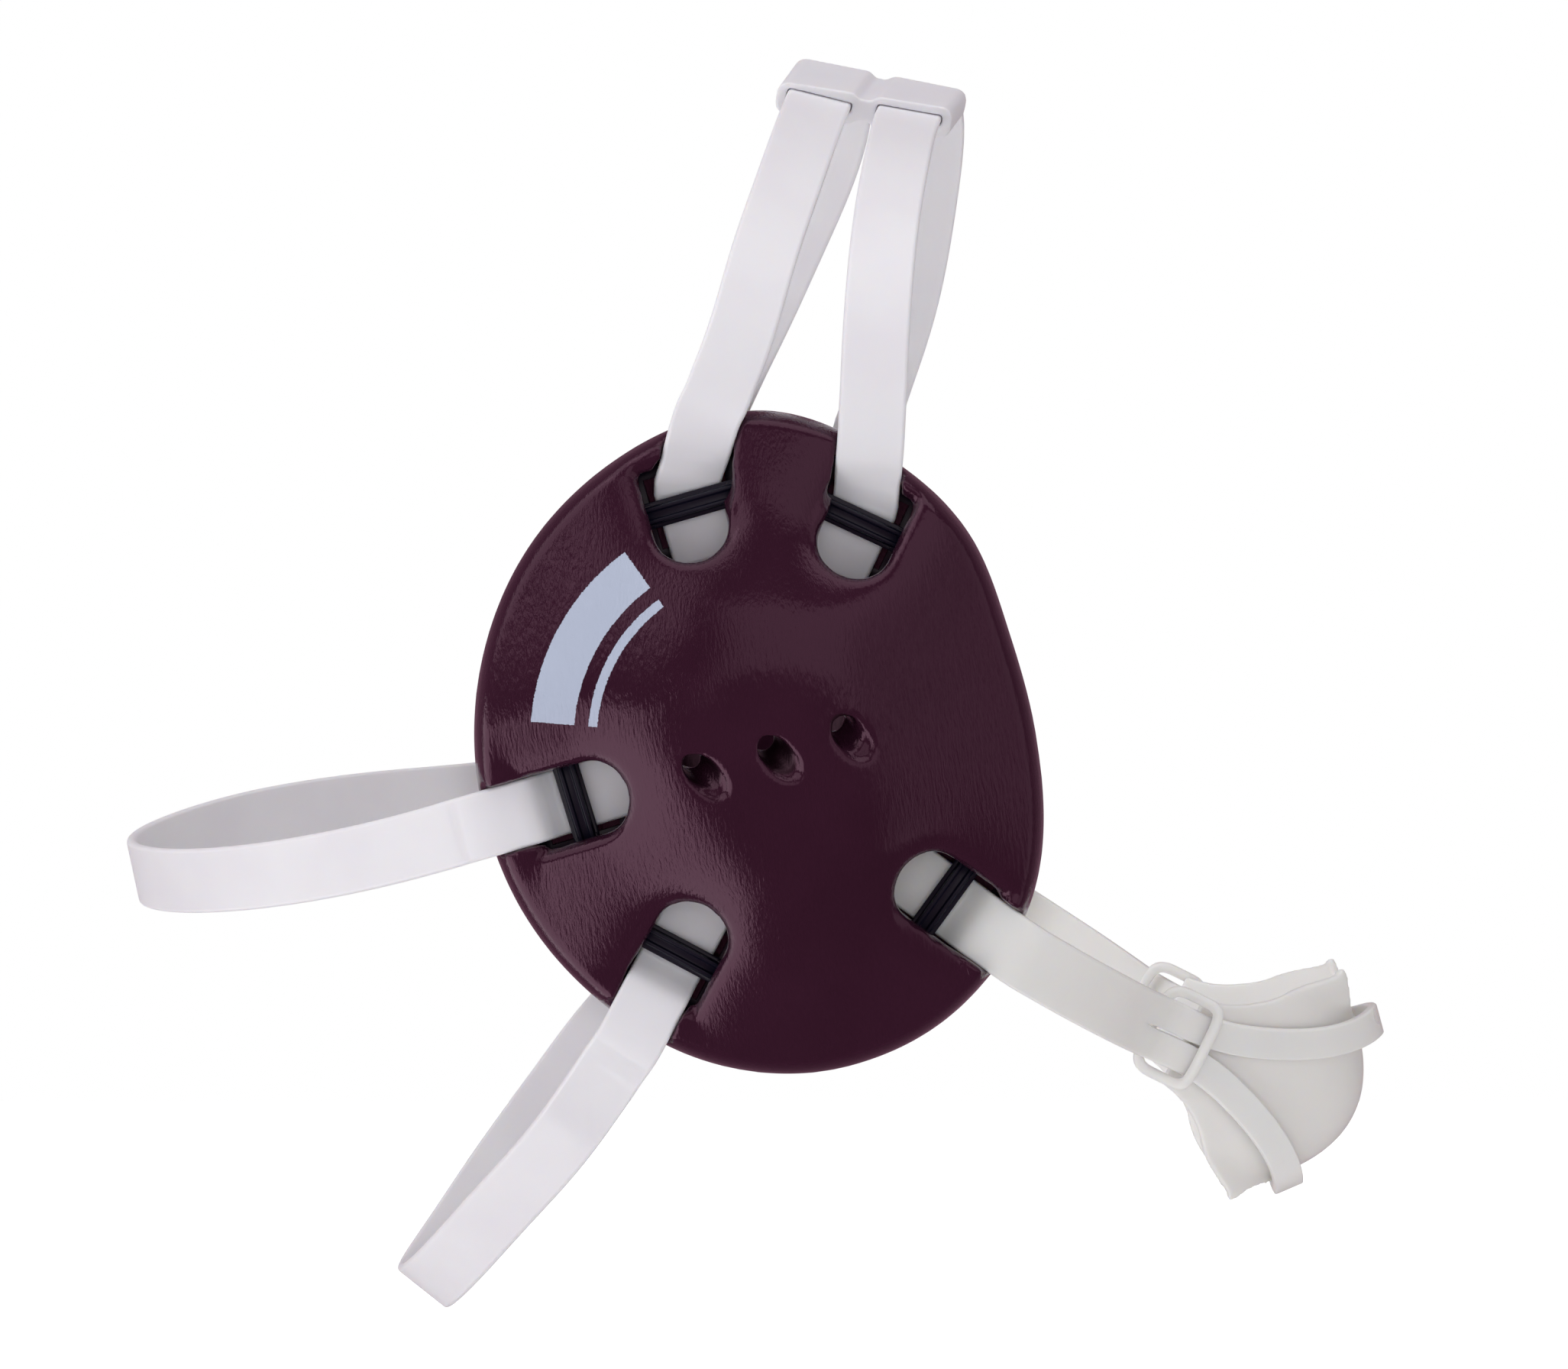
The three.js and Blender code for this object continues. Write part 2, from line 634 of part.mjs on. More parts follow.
// Bowl of the chin cup: an outer and an inner face joined round the edge
function chinBowl() {
  const columns = 24;
  const rows = 7;
  const corners = [];
  const faces = [];
  for (const lift of [0, -chinWall]) {
    for (let column = 0; column <= columns; column += 1) {
      const side = chinTabReach * (2 * column / columns - 1);
      for (let row = 0; row <= rows; row += 1) {
        const rise = THREE.MathUtils.lerp(-chinEdgeAt(side, 'lower'), chinEdgeAt(side, 'upper'), row / rows);
        corners.push(chinPoint(side, rise, lift));
      }
    }
  }
  const layer = (columns + 1) * (rows + 1);
  const at = (column, row) => column * (rows + 1) + row;
  const quad = (a, b, c, d) => faces.push([a, b, c], [a, c, d]);
  for (let column = 0; column < columns; column += 1) {
    for (let row = 0; row < rows; row += 1) {
      const square = [at(column, row), at(column + 1, row), at(column + 1, row + 1), at(column, row + 1)];
      quad(...square);
      quad(...square.map((corner) => corner + layer).reverse());
    }
    quad(at(column + 1, 0), at(column, 0), at(column, 0) + layer, at(column + 1, 0) + layer);
    quad(at(column, rows), at(column + 1, rows), at(column + 1, rows) + layer, at(column, rows) + layer);
  }
  for (let row = 0; row < rows; row += 1) {
    quad(at(0, row), at(0, row + 1), at(0, row + 1) + layer, at(0, row) + layer);
    quad(at(columns, row + 1), at(columns, row), at(columns, row) + layer, at(columns, row + 1) + layer);
  }
  return outwardGeometry(corners, faces);
}

const bandStandOff = clearance + strapThickness / 2;

// Rise of the middle of each half of the split strap over the chin cup
function bandRise(side) {
  const closed = (strapWidth + slitGap) / 4;
  const share = Math.max(1 - (side / chinLoopPlace) ** 2, 0);
  return closed + (bandSpread / 2 - closed) * share ** 1.4;
}

function bandLiftAt(side) {
  return bandStandOff + bandLift * THREE.MathUtils.smoothstep(1 - Math.abs(side), 0.1, 1);
}

// One half of the split strap across the chin cup: half 1 goes over it and half -1 under
function bandStations(half) {
  const steps = 24;
  const stations = [];
  for (let step = 0; step <= steps; step += 1) {
    const side = chinTabReach * (2 * step / steps - 1);
    const rise = half * bandRise(side);
    const middle = chinPoint(side, rise, bandLiftAt(side));
    const across = chinPoint(side, rise - 1, bandLiftAt(side)).sub(chinPoint(side, rise + 1, bandLiftAt(side)));
    stations.push({ middle, across, half: (strapWidth - slitGap) / 4 });
  }
  return smoothStations(stations);
}

// Chin strap: one strap that splits lengthwise into two bands round the chin cup
function chinStrapGeometry() {
  const upperBand = bandStations(1);
  const lowerBand = bandStations(-1);
  const corners = [];
  const faces = [];
  const half = strapThickness / 2;
  const addRing = (station, offsets) => offsets.map(([across, out]) => (
    corners.push(stationPoint(station, across, out)) - 1));
  const joinRings = (first, second) => first.forEach((corner, place) => {
    const next = (place + 1) % first.length;
    faces.push([corner, first[next], second[next]], [corner, second[next], second[place]]);
  });
  const fullRing = (station) => addRing(station, [
    [-station.half, half], [0, half], [station.half, half],
    [station.half, -half], [0, -half], [-station.half, -half],
  ]);
  const bandRing = (station) => addRing(station, [
    [-station.half, half], [station.half, half], [station.half, -half], [-station.half, -half],
  ]);
  const cap = (ring, reverse) => {
    for (const [a, b, c] of [[0, 1, 4], [0, 4, 5], [1, 2, 3], [1, 3, 4]]) {
      faces.push(reverse ? [ring[a], ring[b], ring[c]] : [ring[c], ring[b], ring[a]]);
    }
  };
  const mainRings = (side) => {
    const end = side < 0 ? 0 : upperBand.length - 1;
    const middle = upperBand[end].middle.clone().lerp(lowerBand[end].middle, 0.5);
    const across = lowerBand[end].middle.clone().sub(upperBand[end].middle).normalize();
    const stations = chinStations(side, [{ middle, across, half: strapWidth / 2 }]);
    return stations.slice(0, -1).map(fullRing);
  };
  const rightRings = mainRings(-1);
  const leftRings = mainRings(1).reverse();
  for (const rings of [rightRings, leftRings]) {
    for (let row = 0; row + 1 < rings.length; row += 1) joinRings(rings[row], rings[row + 1]);
  }
  const first = rightRings[rightRings.length - 1];
  const last = leftRings[0];
  const chain = (start, band, end) => {
    const rings = [start, ...band.map(bandRing), end];
    for (let row = 0; row + 1 < rings.length; row += 1) joinRings(rings[row], rings[row + 1]);
  };
  chain([first[0], first[1], first[4], first[5]], upperBand, [last[0], last[1], last[4], last[5]]);
  chain([first[1], first[2], first[3], first[4]], lowerBand, [last[1], last[2], last[3], last[4]]);
  cap(rightRings[0], false);
  cap(leftRings[leftRings.length - 1], true);
  return outwardGeometry(corners, faces);
}

// Loop at each side of the chin cup: a wire round the strap
function chinLoop(side) {
  const place = side * chinLoopPlace;
  const centre = chinPoint(place, 0, bandStandOff);
  const outward = chinPoint(place, 0, bandStandOff + 1).sub(centre).normalize();
  const rise = chinPoint(place, 1, bandStandOff).sub(centre).normalize();
  const travel = new THREE.Vector3().crossVectors(outward, rise).normalize();
  const reachRise = (strapWidth + slitGap) / 2 + clearance * 2 + chinLoopWire;
  const reachOut = strapThickness / 2 + clearance * 1.5 + chinLoopWire;
  const places = 16;
  const wireSides = 6;
  const rings = Array.from({ length: places }, (_, step) => {
    const angle = 2 * Math.PI * step / places;
    const round = (value) => Math.sign(value) * Math.abs(value) ** chinLoopRoundness;
    const middle = centre.clone().addScaledVector(rise, reachRise * round(Math.cos(angle)))
      .addScaledVector(outward, reachOut * round(Math.sin(angle)));
    const spoke = rise.clone().multiplyScalar(Math.cos(angle)).addScaledVector(outward, Math.sin(angle));
    return Array.from({ length: wireSides }, (__, corner) => {
      const turned = 2 * Math.PI * corner / wireSides;
      return middle.clone().addScaledVector(spoke, chinLoopWire * Math.cos(turned))
        .addScaledVector(travel, chinLoopWire * Math.sin(turned));
    });
  });
  return closedRings(rings);
}

// Skin over rings that follow each other round a closed loop
function closedRings(rings) {
  const corners = rings.flat();
  const count = rings[0].length;
  const faces = [];
  rings.forEach((_, row) => {
    const nextRow = ((row + 1) % rings.length) * count;
    for (let column = 0; column < count; column += 1) {
      const next = (column + 1) % count;
      faces.push([row * count + column, row * count + next, nextRow + next],
        [row * count + column, nextRow + next, nextRow + column]);
    }
  });
  return outwardGeometry(corners, faces);
}

function chinCupGeometry() {
  const loops = [-1, 1].map((side) => solidOf(chinLoop(side)));
  return geometryOf(solidOf(chinBowl()).add(loops[0]).add(loops[1]));
}

// Slider: two sleeves joined by a grooved waist, cut through for the crown straps
function sliderGeometry(rear, front, cutters) {
  const rearStation = nearestStation(rear, sliderOffset);
  const frontStation = nearestStation(front, sliderOffset);
  const middle = rearStation.middle.clone().lerp(frontStation.middle, 0.5);
  const along = frontStation.middle.clone().sub(rearStation.middle).normalize();
  const lift = rearStation.outward.clone().add(frontStation.outward);
  const travel = new THREE.Vector3().crossVectors(along, lift).normalize();
  const outward = new THREE.Vector3().crossVectors(travel, along).normalize();
  const frame = new THREE.Matrix4().makeBasis(along, outward, travel).setPosition(middle);
  const [half, rise] = [sliderLength / 2, sliderHeight / 2];
  const [waist, groove, corner] = [sliderWaist / 2, sliderGroove, sliderCorner];
  const outline = [
    [-half, -rise + corner], [-half + corner, -rise], [-waist, -rise], [-waist * 0.6, -rise + groove],
    [waist * 0.6, -rise + groove], [waist, -rise], [half - corner, -rise], [half, -rise + corner],
    [half, rise - corner], [half - corner, rise], [waist, rise], [waist * 0.5, rise - groove],
    [-waist * 0.5, rise - groove], [-waist, rise], [-half + corner, rise], [-half, rise - corner],
  ];
  const shape = new THREE.Shape(outline.map(([x, y]) => new THREE.Vector2(x, y)));
  const block = new THREE.ExtrudeGeometry(shape, { depth: sliderDepth, bevelEnabled: false });
  block.translate(0, 0, -sliderDepth / 2).applyMatrix4(frame);
  let slider = solidOf(block);
  for (const cutter of cutters) slider = slider.subtract(cutter);
  return geometryOf(slider);
}

function nearestStation(stations, across) {
  return stations.reduce((best, station) => (
    Math.abs(station.middle.y - across) < Math.abs(best.middle.y - across) ? station : best));
}

const ribbonCutter = (stations, over) => solidOf(
  ribbon(stations, clearance * 2, strapThickness / 2 + clearance, over),
);

// Stations of a strap over one cup, from inside its slot's outer edge outwards
function channelStations(stations, side) {
  const outwards = side < 0 ? stations : stations.slice().reverse();
  const start = slotPlaces.length - 3;
  const end = outwards.findIndex((station, place) => place > start
    && Math.hypot(station.middle.x, station.middle.z) > meanHalf * 1.45);
  const run = outwards.slice(start, end);
  return side < 0 ? run : run.reverse();
}

// Cup with its slots and vents, on the right
function cupBody() {
  let cup = solidOf(cupBlank());
  for (const slot of Object.values(slots)) {
    const frame = slotFrame(slot);
    cup = cup.subtract(solidOf(slotHole().applyMatrix4(frame)));
    cup = cup.subtract(solidOf(anchorPocket().applyMatrix4(frame)));
  }
  for (const place of [-1, 0, 1]) cup = cup.subtract(solidOf(ventBore(place)));
  return geometryOf(cup);
}

// Cup on one side, with the channels that its straps lie in
function cupGeometry(side, strapRuns) {
  const body = cupBody();
  let cup = solidOf(side < 0 ? body : mirrored(body));
  for (const stations of strapRuns) {
    cup = cup.subtract(ribbonCutter(channelStations(stations, side), channelHeadroom));
  }
  return geometryOf(cup);
}

function namedMesh(name, geometry, look) {
  geometry.computeVertexNormals();
  const mesh = new THREE.Mesh(geometry, new THREE.MeshStandardMaterial(look));
  mesh.name = name;
  return mesh;
}

const crownRear = strapStations(slots.crown_rear, crownRearRun, crownHeight);
const crownFront = strapStations(slots.crown_front, crownFrontRun, crownHeight);
const back = strapStations(slots.back, backRun, backReach);
const nape = strapStations(slots.nape, napeRun, napeDrop);

const sliderCutters = [crownRear, crownFront].map((stations) => {
  const near = stations.filter((station) => station.middle.z > crownHeight * 0.85);
  return solidOf(ribbon(near, clearance, strapThickness / 2 + clearance, strapThickness / 2 + clearance));
});

const guard = new THREE.Group();
const earAxis = new THREE.Group();
earAxis.position.set(-crownForward, 0, -crownHeight);
guard.add(earAxis);

for (const [sideName, side] of [['right', -1], ['left', 1]]) {
  const chin = side < 0 ? chinStations(side) : chinStations(side).reverse();
  const cup = cupGeometry(side, [crownRear, crownFront, back, nape, chin]);
  earAxis.add(namedMesh(`${sideName}_ear_cup`, cup, maroonVinyl));
}

const anchorShape = anchorGeometry();
for (const [sideName, side] of [['right', -1], ['left', 1]]) {
  for (const [slotName, slot] of Object.entries(slots)) {
    const anchor = namedMesh(`${sideName}_anchor_${slotName}`, anchorShape, blackPlastic);
    anchor.applyMatrix4(slotFrame(slot, side));
    earAxis.add(anchor);
  }
}

earAxis.add(namedMesh('crown_strap_rear', ribbon(crownRear), whiteVinyl));
earAxis.add(namedMesh('crown_strap_front', ribbon(crownFront), whiteVinyl));
earAxis.add(namedMesh('crown_slider', sliderGeometry(crownRear, crownFront, sliderCutters), whiteVinyl));
earAxis.add(namedMesh('back_strap', ribbon(back), whiteVinyl));
earAxis.add(namedMesh('nape_strap', ribbon(nape), whiteVinyl));
earAxis.add(namedMesh('chin_strap', chinStrapGeometry(), warmWhiteVinyl));
earAxis.add(namedMesh('chin_cup', chinCupGeometry(), warmWhiteVinyl));

export default guard;
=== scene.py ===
# %% [markdown]
# A wrestling ear guard, finished in Blender. Two padded cups of foam, dipped in glossy maroon
# vinyl, hang on soft white vinyl straps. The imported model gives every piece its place, so the
# script starts by loading it. The pieces made here stand where those solids stand.

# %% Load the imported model
import math

import bmesh
import bpy
import numpy as np
from mathutils import Matrix, Vector


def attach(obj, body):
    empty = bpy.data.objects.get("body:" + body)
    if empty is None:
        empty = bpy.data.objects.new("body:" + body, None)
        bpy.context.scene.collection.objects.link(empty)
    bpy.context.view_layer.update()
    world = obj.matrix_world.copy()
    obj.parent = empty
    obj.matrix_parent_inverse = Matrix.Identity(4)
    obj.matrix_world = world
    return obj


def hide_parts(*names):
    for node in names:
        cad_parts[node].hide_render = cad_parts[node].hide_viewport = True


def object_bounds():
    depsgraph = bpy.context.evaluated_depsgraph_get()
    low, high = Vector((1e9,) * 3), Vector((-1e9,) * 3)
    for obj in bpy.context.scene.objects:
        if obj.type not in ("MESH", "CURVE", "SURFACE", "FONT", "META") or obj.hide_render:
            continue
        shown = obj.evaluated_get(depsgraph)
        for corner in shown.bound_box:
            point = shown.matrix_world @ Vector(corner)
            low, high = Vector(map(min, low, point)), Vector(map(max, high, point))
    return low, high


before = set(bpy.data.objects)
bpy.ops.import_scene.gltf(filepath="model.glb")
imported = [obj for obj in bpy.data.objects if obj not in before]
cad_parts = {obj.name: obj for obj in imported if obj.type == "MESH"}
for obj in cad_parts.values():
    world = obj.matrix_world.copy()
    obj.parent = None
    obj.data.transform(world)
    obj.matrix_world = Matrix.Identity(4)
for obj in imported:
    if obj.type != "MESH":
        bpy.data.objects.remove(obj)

cad_low, cad_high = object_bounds()
print("packed model, mm:", [round(1000 * side) for side in cad_high - cad_low])

# %% [markdown]
# The guard floats as it would on a head, so a pale floor lies a little under its lowest strap.
# The camera looks at it from the side, almost level, through a long lens. A long lens keeps the
# near and the far straps at nearly the same scale, as in a catalogue picture.

# %% Camera
CAMERA_ELEVATION = math.radians(1.8)
CAMERA_DISTANCE = 1.8
CAMERA_LENS = 203.31
VIEW_CENTRE = Vector((-0.01717, 0.0, -0.11819))

camera_data = bpy.data.cameras.new("side_camera")
camera_data.sensor_width = 36.0
camera_data.lens = CAMERA_LENS
camera_data.clip_end = 50.0
camera = bpy.data.objects.new("side_camera", camera_data)
bpy.context.collection.objects.link(camera)
away = Vector((0, -math.cos(CAMERA_ELEVATION), math.sin(CAMERA_ELEVATION)))
camera.location = VIEW_CENTRE + CAMERA_DISTANCE * away
camera.rotation_euler = (math.pi / 2 - CAMERA_ELEVATION, 0, 0)
bpy.context.scene.camera = camera
bpy.context.scene.view_settings.view_transform = "Standard"
print("camera at", [round(value, 3) for value in camera.location])

# %% [markdown]
# Materials and Geometry Nodes trees are both built from nodes, so a few short helpers add a node,
# set its inputs and join it to the next.


# %% Node helpers
def add_node(tree, kind, place=(0, 0), **settings):
    """A node of a tree, with its properties set by name."""
    node = tree.nodes.new(kind)
    node.location = place
    for key, value in settings.items():
        setattr(node, key, value)
    return node


def set_inputs(node, **values):
    """Sets sockets by name, with spaces written as underscores."""
    for key, value in values.items():
        node.inputs[key.replace("_", " ")].default_value = value
    return node


def join(tree, start, end):
    tree.links.new(start, end)


def new_material(name):
    """A material with only a Principled shader and its output."""
    material = bpy.data.materials.new(name)
    material.use_nodes = True
    tree = material.node_tree
    tree.nodes.clear()
    shader = add_node(tree, "ShaderNodeBsdfPrincipled", (300, 0))
    output = add_node(tree, "ShaderNodeOutputMaterial", (600, 0))
    join(tree, shader.outputs["BSDF"], output.inputs["Surface"])
    return material, tree, shader


def linear(red, green, blue):
    """A screen colour, 0 to 255, as the linear colour that a shader wants."""
    def channel(value):
        share = value / 255
        return share / 12.92 if share <= 0.04045 else ((share + 0.055) / 1.055) ** 2.4
    return (channel(red), channel(green), channel(blue), 1.0)


def map_range(tree, value, low, high, to_low, to_high, smooth=False):
    """A Map Range node; returns its output."""
    node = add_node(tree, "ShaderNodeMapRange", (0, -200))
    node.interpolation_type = "SMOOTHSTEP" if smooth else "LINEAR"
    join(tree, value, node.inputs["Value"])
    for label, number in [("From Min", low), ("From Max", high), ("To Min", to_low), ("To Max", to_high)]:
        node.inputs[label].default_value = number
    return node.outputs["Result"]


print("node helpers ready")

# %% [markdown]
# Glossy dark vinyl shows its surroundings more than its colour, so the light matters as much as
# the material. A tall soft box on the left gives the left petals their broad sheen. A weaker one
# on the right and one overhead fill in. What the surface mirrors straight ahead stays dim, which
# keeps the maroon deep, and the straps are lit softly from all round.

# %% Floor, surroundings and soft boxes
FLOOR_GAP = 0.06
FLOOR_SIZE = 2.6
FLOOR_GLOW_START, FLOOR_GLOW_END, FLOOR_GLOW = 0.1, 0.42, 0.9
ROOM_LIGHT, MIRRORED_ROOM = 0.14, 0.21

floor_mesh = bpy.data.meshes.new("studio_floor")
half_floor = FLOOR_SIZE / 2
floor_level = cad_low.z - FLOOR_GAP
floor_mesh.from_pydata(
    [(-half_floor, -half_floor, floor_level), (half_floor, -half_floor, floor_level),
     (half_floor, half_floor, floor_level), (-half_floor, half_floor, floor_level)],
    [], [(0, 1, 2, 3)])
studio_floor = bpy.data.objects.new("studio_floor", floor_mesh)
bpy.context.collection.objects.link(studio_floor)
floor_material, floor_tree, floor_shader = new_material("pale_floor")
set_inputs(floor_shader, Base_Color=(0.85, 0.85, 0.85, 1), Roughness=0.9, Emission_Color=(1, 1, 1, 1))
floor_shader.inputs["Specular IOR Level"].default_value = 0.0
floor_place = add_node(floor_tree, "ShaderNodeSeparateXYZ", (-300, 0))
floor_position = add_node(floor_tree, "ShaderNodeTexCoord", (-500, 0))
join(floor_tree, floor_position.outputs["Object"], floor_place.inputs[0])
join(floor_tree, map_range(floor_tree, floor_place.outputs["Y"], FLOOR_GLOW_START, FLOOR_GLOW_END,
                           0.0, FLOOR_GLOW, smooth=True), floor_shader.inputs["Emission Strength"])
studio_floor.data.materials.append(floor_material)
studio_floor.visible_glossy = studio_floor.visible_shadow = False

world = bpy.data.worlds.new("white_room")
bpy.context.scene.world = world
world.use_nodes = True
room = world.node_tree
room.nodes.clear()
which_ray = add_node(room, "ShaderNodeLightPath", (-600, 300))
room_output = add_node(room, "ShaderNodeOutputWorld", (600, 0))
shown = None
for label, colour, strength in [(None, (0.98, 0.98, 1.0, 1), ROOM_LIGHT),
                                ("Is Glossy Ray", (1.0, 0.5, 0.7, 1), MIRRORED_ROOM),
                                ("Is Camera Ray", (1, 1, 1, 1), 1.0)]:
    layer = add_node(room, "ShaderNodeBackground", (-300, -100))
    set_inputs(layer, Color=colour, Strength=strength)
    if shown is None:
        shown = layer
        continue
    pick = add_node(room, "ShaderNodeMixShader", (250, 0))
    join(room, which_ray.outputs[label], pick.inputs[0])
    join(room, shown.outputs[0], pick.inputs[1])
    join(room, layer.outputs[0], pick.inputs[2])
    shown = pick
join(room, shown.outputs[0], room_output.inputs[0])


def soft_box(name, azimuth, elevation, distance, width, height, radiance, mirrored=True):
    """A flat lamp that faces the middle of the view. Azimuth 0 is the camera's side. A lamp that
    is not mirrored lights only the dull part of a surface."""
    lamp = bpy.data.lights.new(name, "AREA")
    lamp.shape = "RECTANGLE"
    lamp.size, lamp.size_y = width, height
    lamp.energy = radiance * math.pi * width * height
    box = bpy.data.objects.new(name, lamp)
    bpy.context.collection.objects.link(box)
    turn, rise = math.radians(azimuth), math.radians(elevation)
    way = Vector((math.sin(turn) * math.cos(rise), -math.cos(turn) * math.cos(rise), math.sin(rise)))
    box.location = VIEW_CENTRE + distance * way
    box.rotation_euler = (-way).to_track_quat("-Z", "Y").to_euler()
    box.visible_glossy = mirrored
    return box


soft_box("left_soft_box", -70, -23, 1.5, 2.2, 1.9, 1.75)
soft_box("left_high_box", -62, 36, 1.7, 1.6, 1.1, 1.0)
soft_box("left_fill", -80, -34, 1.9, 1.6, 1.8, 0.2, mirrored=False)
soft_box("front_soft_box", 14, 22, 2.3, 2.0, 1.5, 0.55)
soft_box("front_fill", -2, -8, 2.1, 1.6, 1.2, 0.95, mirrored=False)
soft_box("right_soft_box", 62, 10, 1.7, 1.2, 1.6, 0.4)
soft_box("right_fill", 50, -14, 1.7, 1.6, 1.4, 0.75, mirrored=False)
soft_box("top_soft_box", -6, 78, 1.4, 2.2, 1.0, 0.9)
soft_box("top_fill", 0, 84, 1.7, 2.0, 1.2, 1.45, mirrored=False)
soft_box("rear_fill", 170, 30, 2.2, 2.4, 1.6, 0.2, mirrored=False)
print("floor at", round(floor_level, 3), "m")

# %% [markdown]
# Both vinyls share one effect: the fine skin that forms when a dipped or moulded part cools. On
# the cups it is a leathery wrinkle, stretched one way. A shader node group makes it once, with
# its scale, its stretch and its depth as inputs, so each vinyl places it with its own values.


# %% Shared node groups
def new_group(name, inputs, outputs):
    """A shader node group with named sockets, each with its type and its first value."""
    group = bpy.data.node_groups.new(name, "ShaderNodeTree")
    for label, kind, value in inputs:
        socket = group.interface.new_socket(name=label, in_out="INPUT", socket_type=kind)
        if value is not None:
            socket.default_value = value
    for label, kind in outputs:
        group.interface.new_socket(name=label, in_out="OUTPUT", socket_type=kind)
    start = add_node(group, "NodeGroupInput", (-800, 0))
    end = add_node(group, "NodeGroupOutput", (800, 0))
    return group, start, end


def math_node(tree, operation, first, second=None):
    """A Math node whose inputs are sockets or numbers; returns its output."""
    node = add_node(tree, "ShaderNodeMath", operation=operation)
    for place, value in enumerate([first, second]):
        if value is None:
            continue
        if isinstance(value, (int, float)):
            node.inputs[place].default_value = value
        else:
            join(tree, value, node.inputs[place])
    return node.outputs[0]


FLOAT, VECTOR = "NodeSocketFloat", "NodeSocketVector"

wrinkle, wrinkle_in, wrinkle_out = new_group(
    "vinyl_wrinkle",
    [("Vector", VECTOR, None), ("Scale", FLOAT, 900.0), ("Stretch", FLOAT, 3.0),
     ("Lean", FLOAT, 0.2), ("Warp", FLOAT, 0.0006)],
    [("Height", FLOAT), ("Patches", FLOAT)])
lean_turn = add_node(wrinkle, "ShaderNodeVectorRotate", (-600, 0), rotation_type="Y_AXIS")
join(wrinkle, wrinkle_in.outputs["Vector"], lean_turn.inputs["Vector"])
join(wrinkle, wrinkle_in.outputs["Lean"], lean_turn.inputs["Angle"])
drift = add_node(wrinkle, "ShaderNodeTexNoise", (-600, -250))
set_inputs(drift, Scale=160.0, Detail=2.0)
join(wrinkle, wrinkle_in.outputs["Vector"], drift.inputs["Vector"])
centred = add_node(wrinkle, "ShaderNodeVectorMath", (-450, -250), operation="SUBTRACT")
centred.inputs[1].default_value = (0.5, 0.5, 0.5)
join(wrinkle, drift.outputs["Color"], centred.inputs[0])
warped = add_node(wrinkle, "ShaderNodeVectorMath", (-300, -150), operation="SCALE")
join(wrinkle, centred.outputs[0], warped.inputs[0])
join(wrinkle, wrinkle_in.outputs["Warp"], warped.inputs["Scale"])
moved = add_node(wrinkle, "ShaderNodeVectorMath", (-150, 0), operation="ADD")
join(wrinkle, lean_turn.outputs[0], moved.inputs[0])
join(wrinkle, warped.outputs[0], moved.inputs[1])
squeeze = add_node(wrinkle, "ShaderNodeCombineXYZ", (-150, -200))
squeeze.inputs["X"].default_value = 1.0
squeeze.inputs["Y"].default_value = 1.0
join(wrinkle, math_node(wrinkle, "DIVIDE", 1.0, wrinkle_in.outputs["Stretch"]), squeeze.inputs["Z"])
stretched = add_node(wrinkle, "ShaderNodeVectorMath", (0, 0), operation="MULTIPLY")
join(wrinkle, moved.outputs[0], stretched.inputs[0])
join(wrinkle, squeeze.outputs[0], stretched.inputs[1])
grain = add_node(wrinkle, "ShaderNodeTexNoise", (200, 0))
set_inputs(grain, Detail=3.0, Roughness=0.55)
join(wrinkle, stretched.outputs[0], grain.inputs["Vector"])
join(wrinkle, wrinkle_in.outputs["Scale"], grain.inputs["Scale"])
join(wrinkle, grain.outputs[0], wrinkle_out.inputs["Height"])
patches = add_node(wrinkle, "ShaderNodeTexNoise", (200, -300))
set_inputs(patches, Scale=42.0, Detail=2.0)
join(wrinkle, wrinkle_in.outputs["Vector"], patches.inputs["Vector"])
join(wrinkle, patches.outputs[0], wrinkle_out.inputs["Patches"])


def place_group(tree, group, vector, **values):
    node = add_node(tree, "ShaderNodeGroup", (-400, 0), node_tree=group)
    join(tree, vector, node.inputs["Vector"])
    return set_inputs(node, **values)


def mix_colours(tree, factor, first, second):
    """A colour between two colours; each is a socket or a colour."""
    node = add_node(tree, "ShaderNodeMix", (0, 200), data_type="RGBA")
    join(tree, factor, node.inputs["Factor"])
    for label, value in [("A", first), ("B", second)]:
        socket = next(entry for entry in node.inputs if entry.name == label and entry.type == "RGBA")
        if isinstance(value, tuple):
            socket.default_value = value
        else:
            join(tree, value, socket)
    return next(entry for entry in node.outputs if entry.type == "RGBA")


def bump(tree, height, distance, strength):
    """A Bump node; returns its output."""
    node = add_node(tree, "ShaderNodeBump", (100, -400))
    set_inputs(node, Distance=distance, Strength=strength)
    join(tree, height, node.inputs["Height"])
    return node.outputs["Normal"]


print("node group", wrinkle.name, "has", len(wrinkle.nodes), "nodes")

# %% [markdown]
# The main sizes, in metres. They are the same driving sizes that the solids have, so every piece
# made here fits the space of the solid that it stands for. Forward is +X, up is +Z, and the
# tables count from the ear axis, which runs through the middle of both cups.

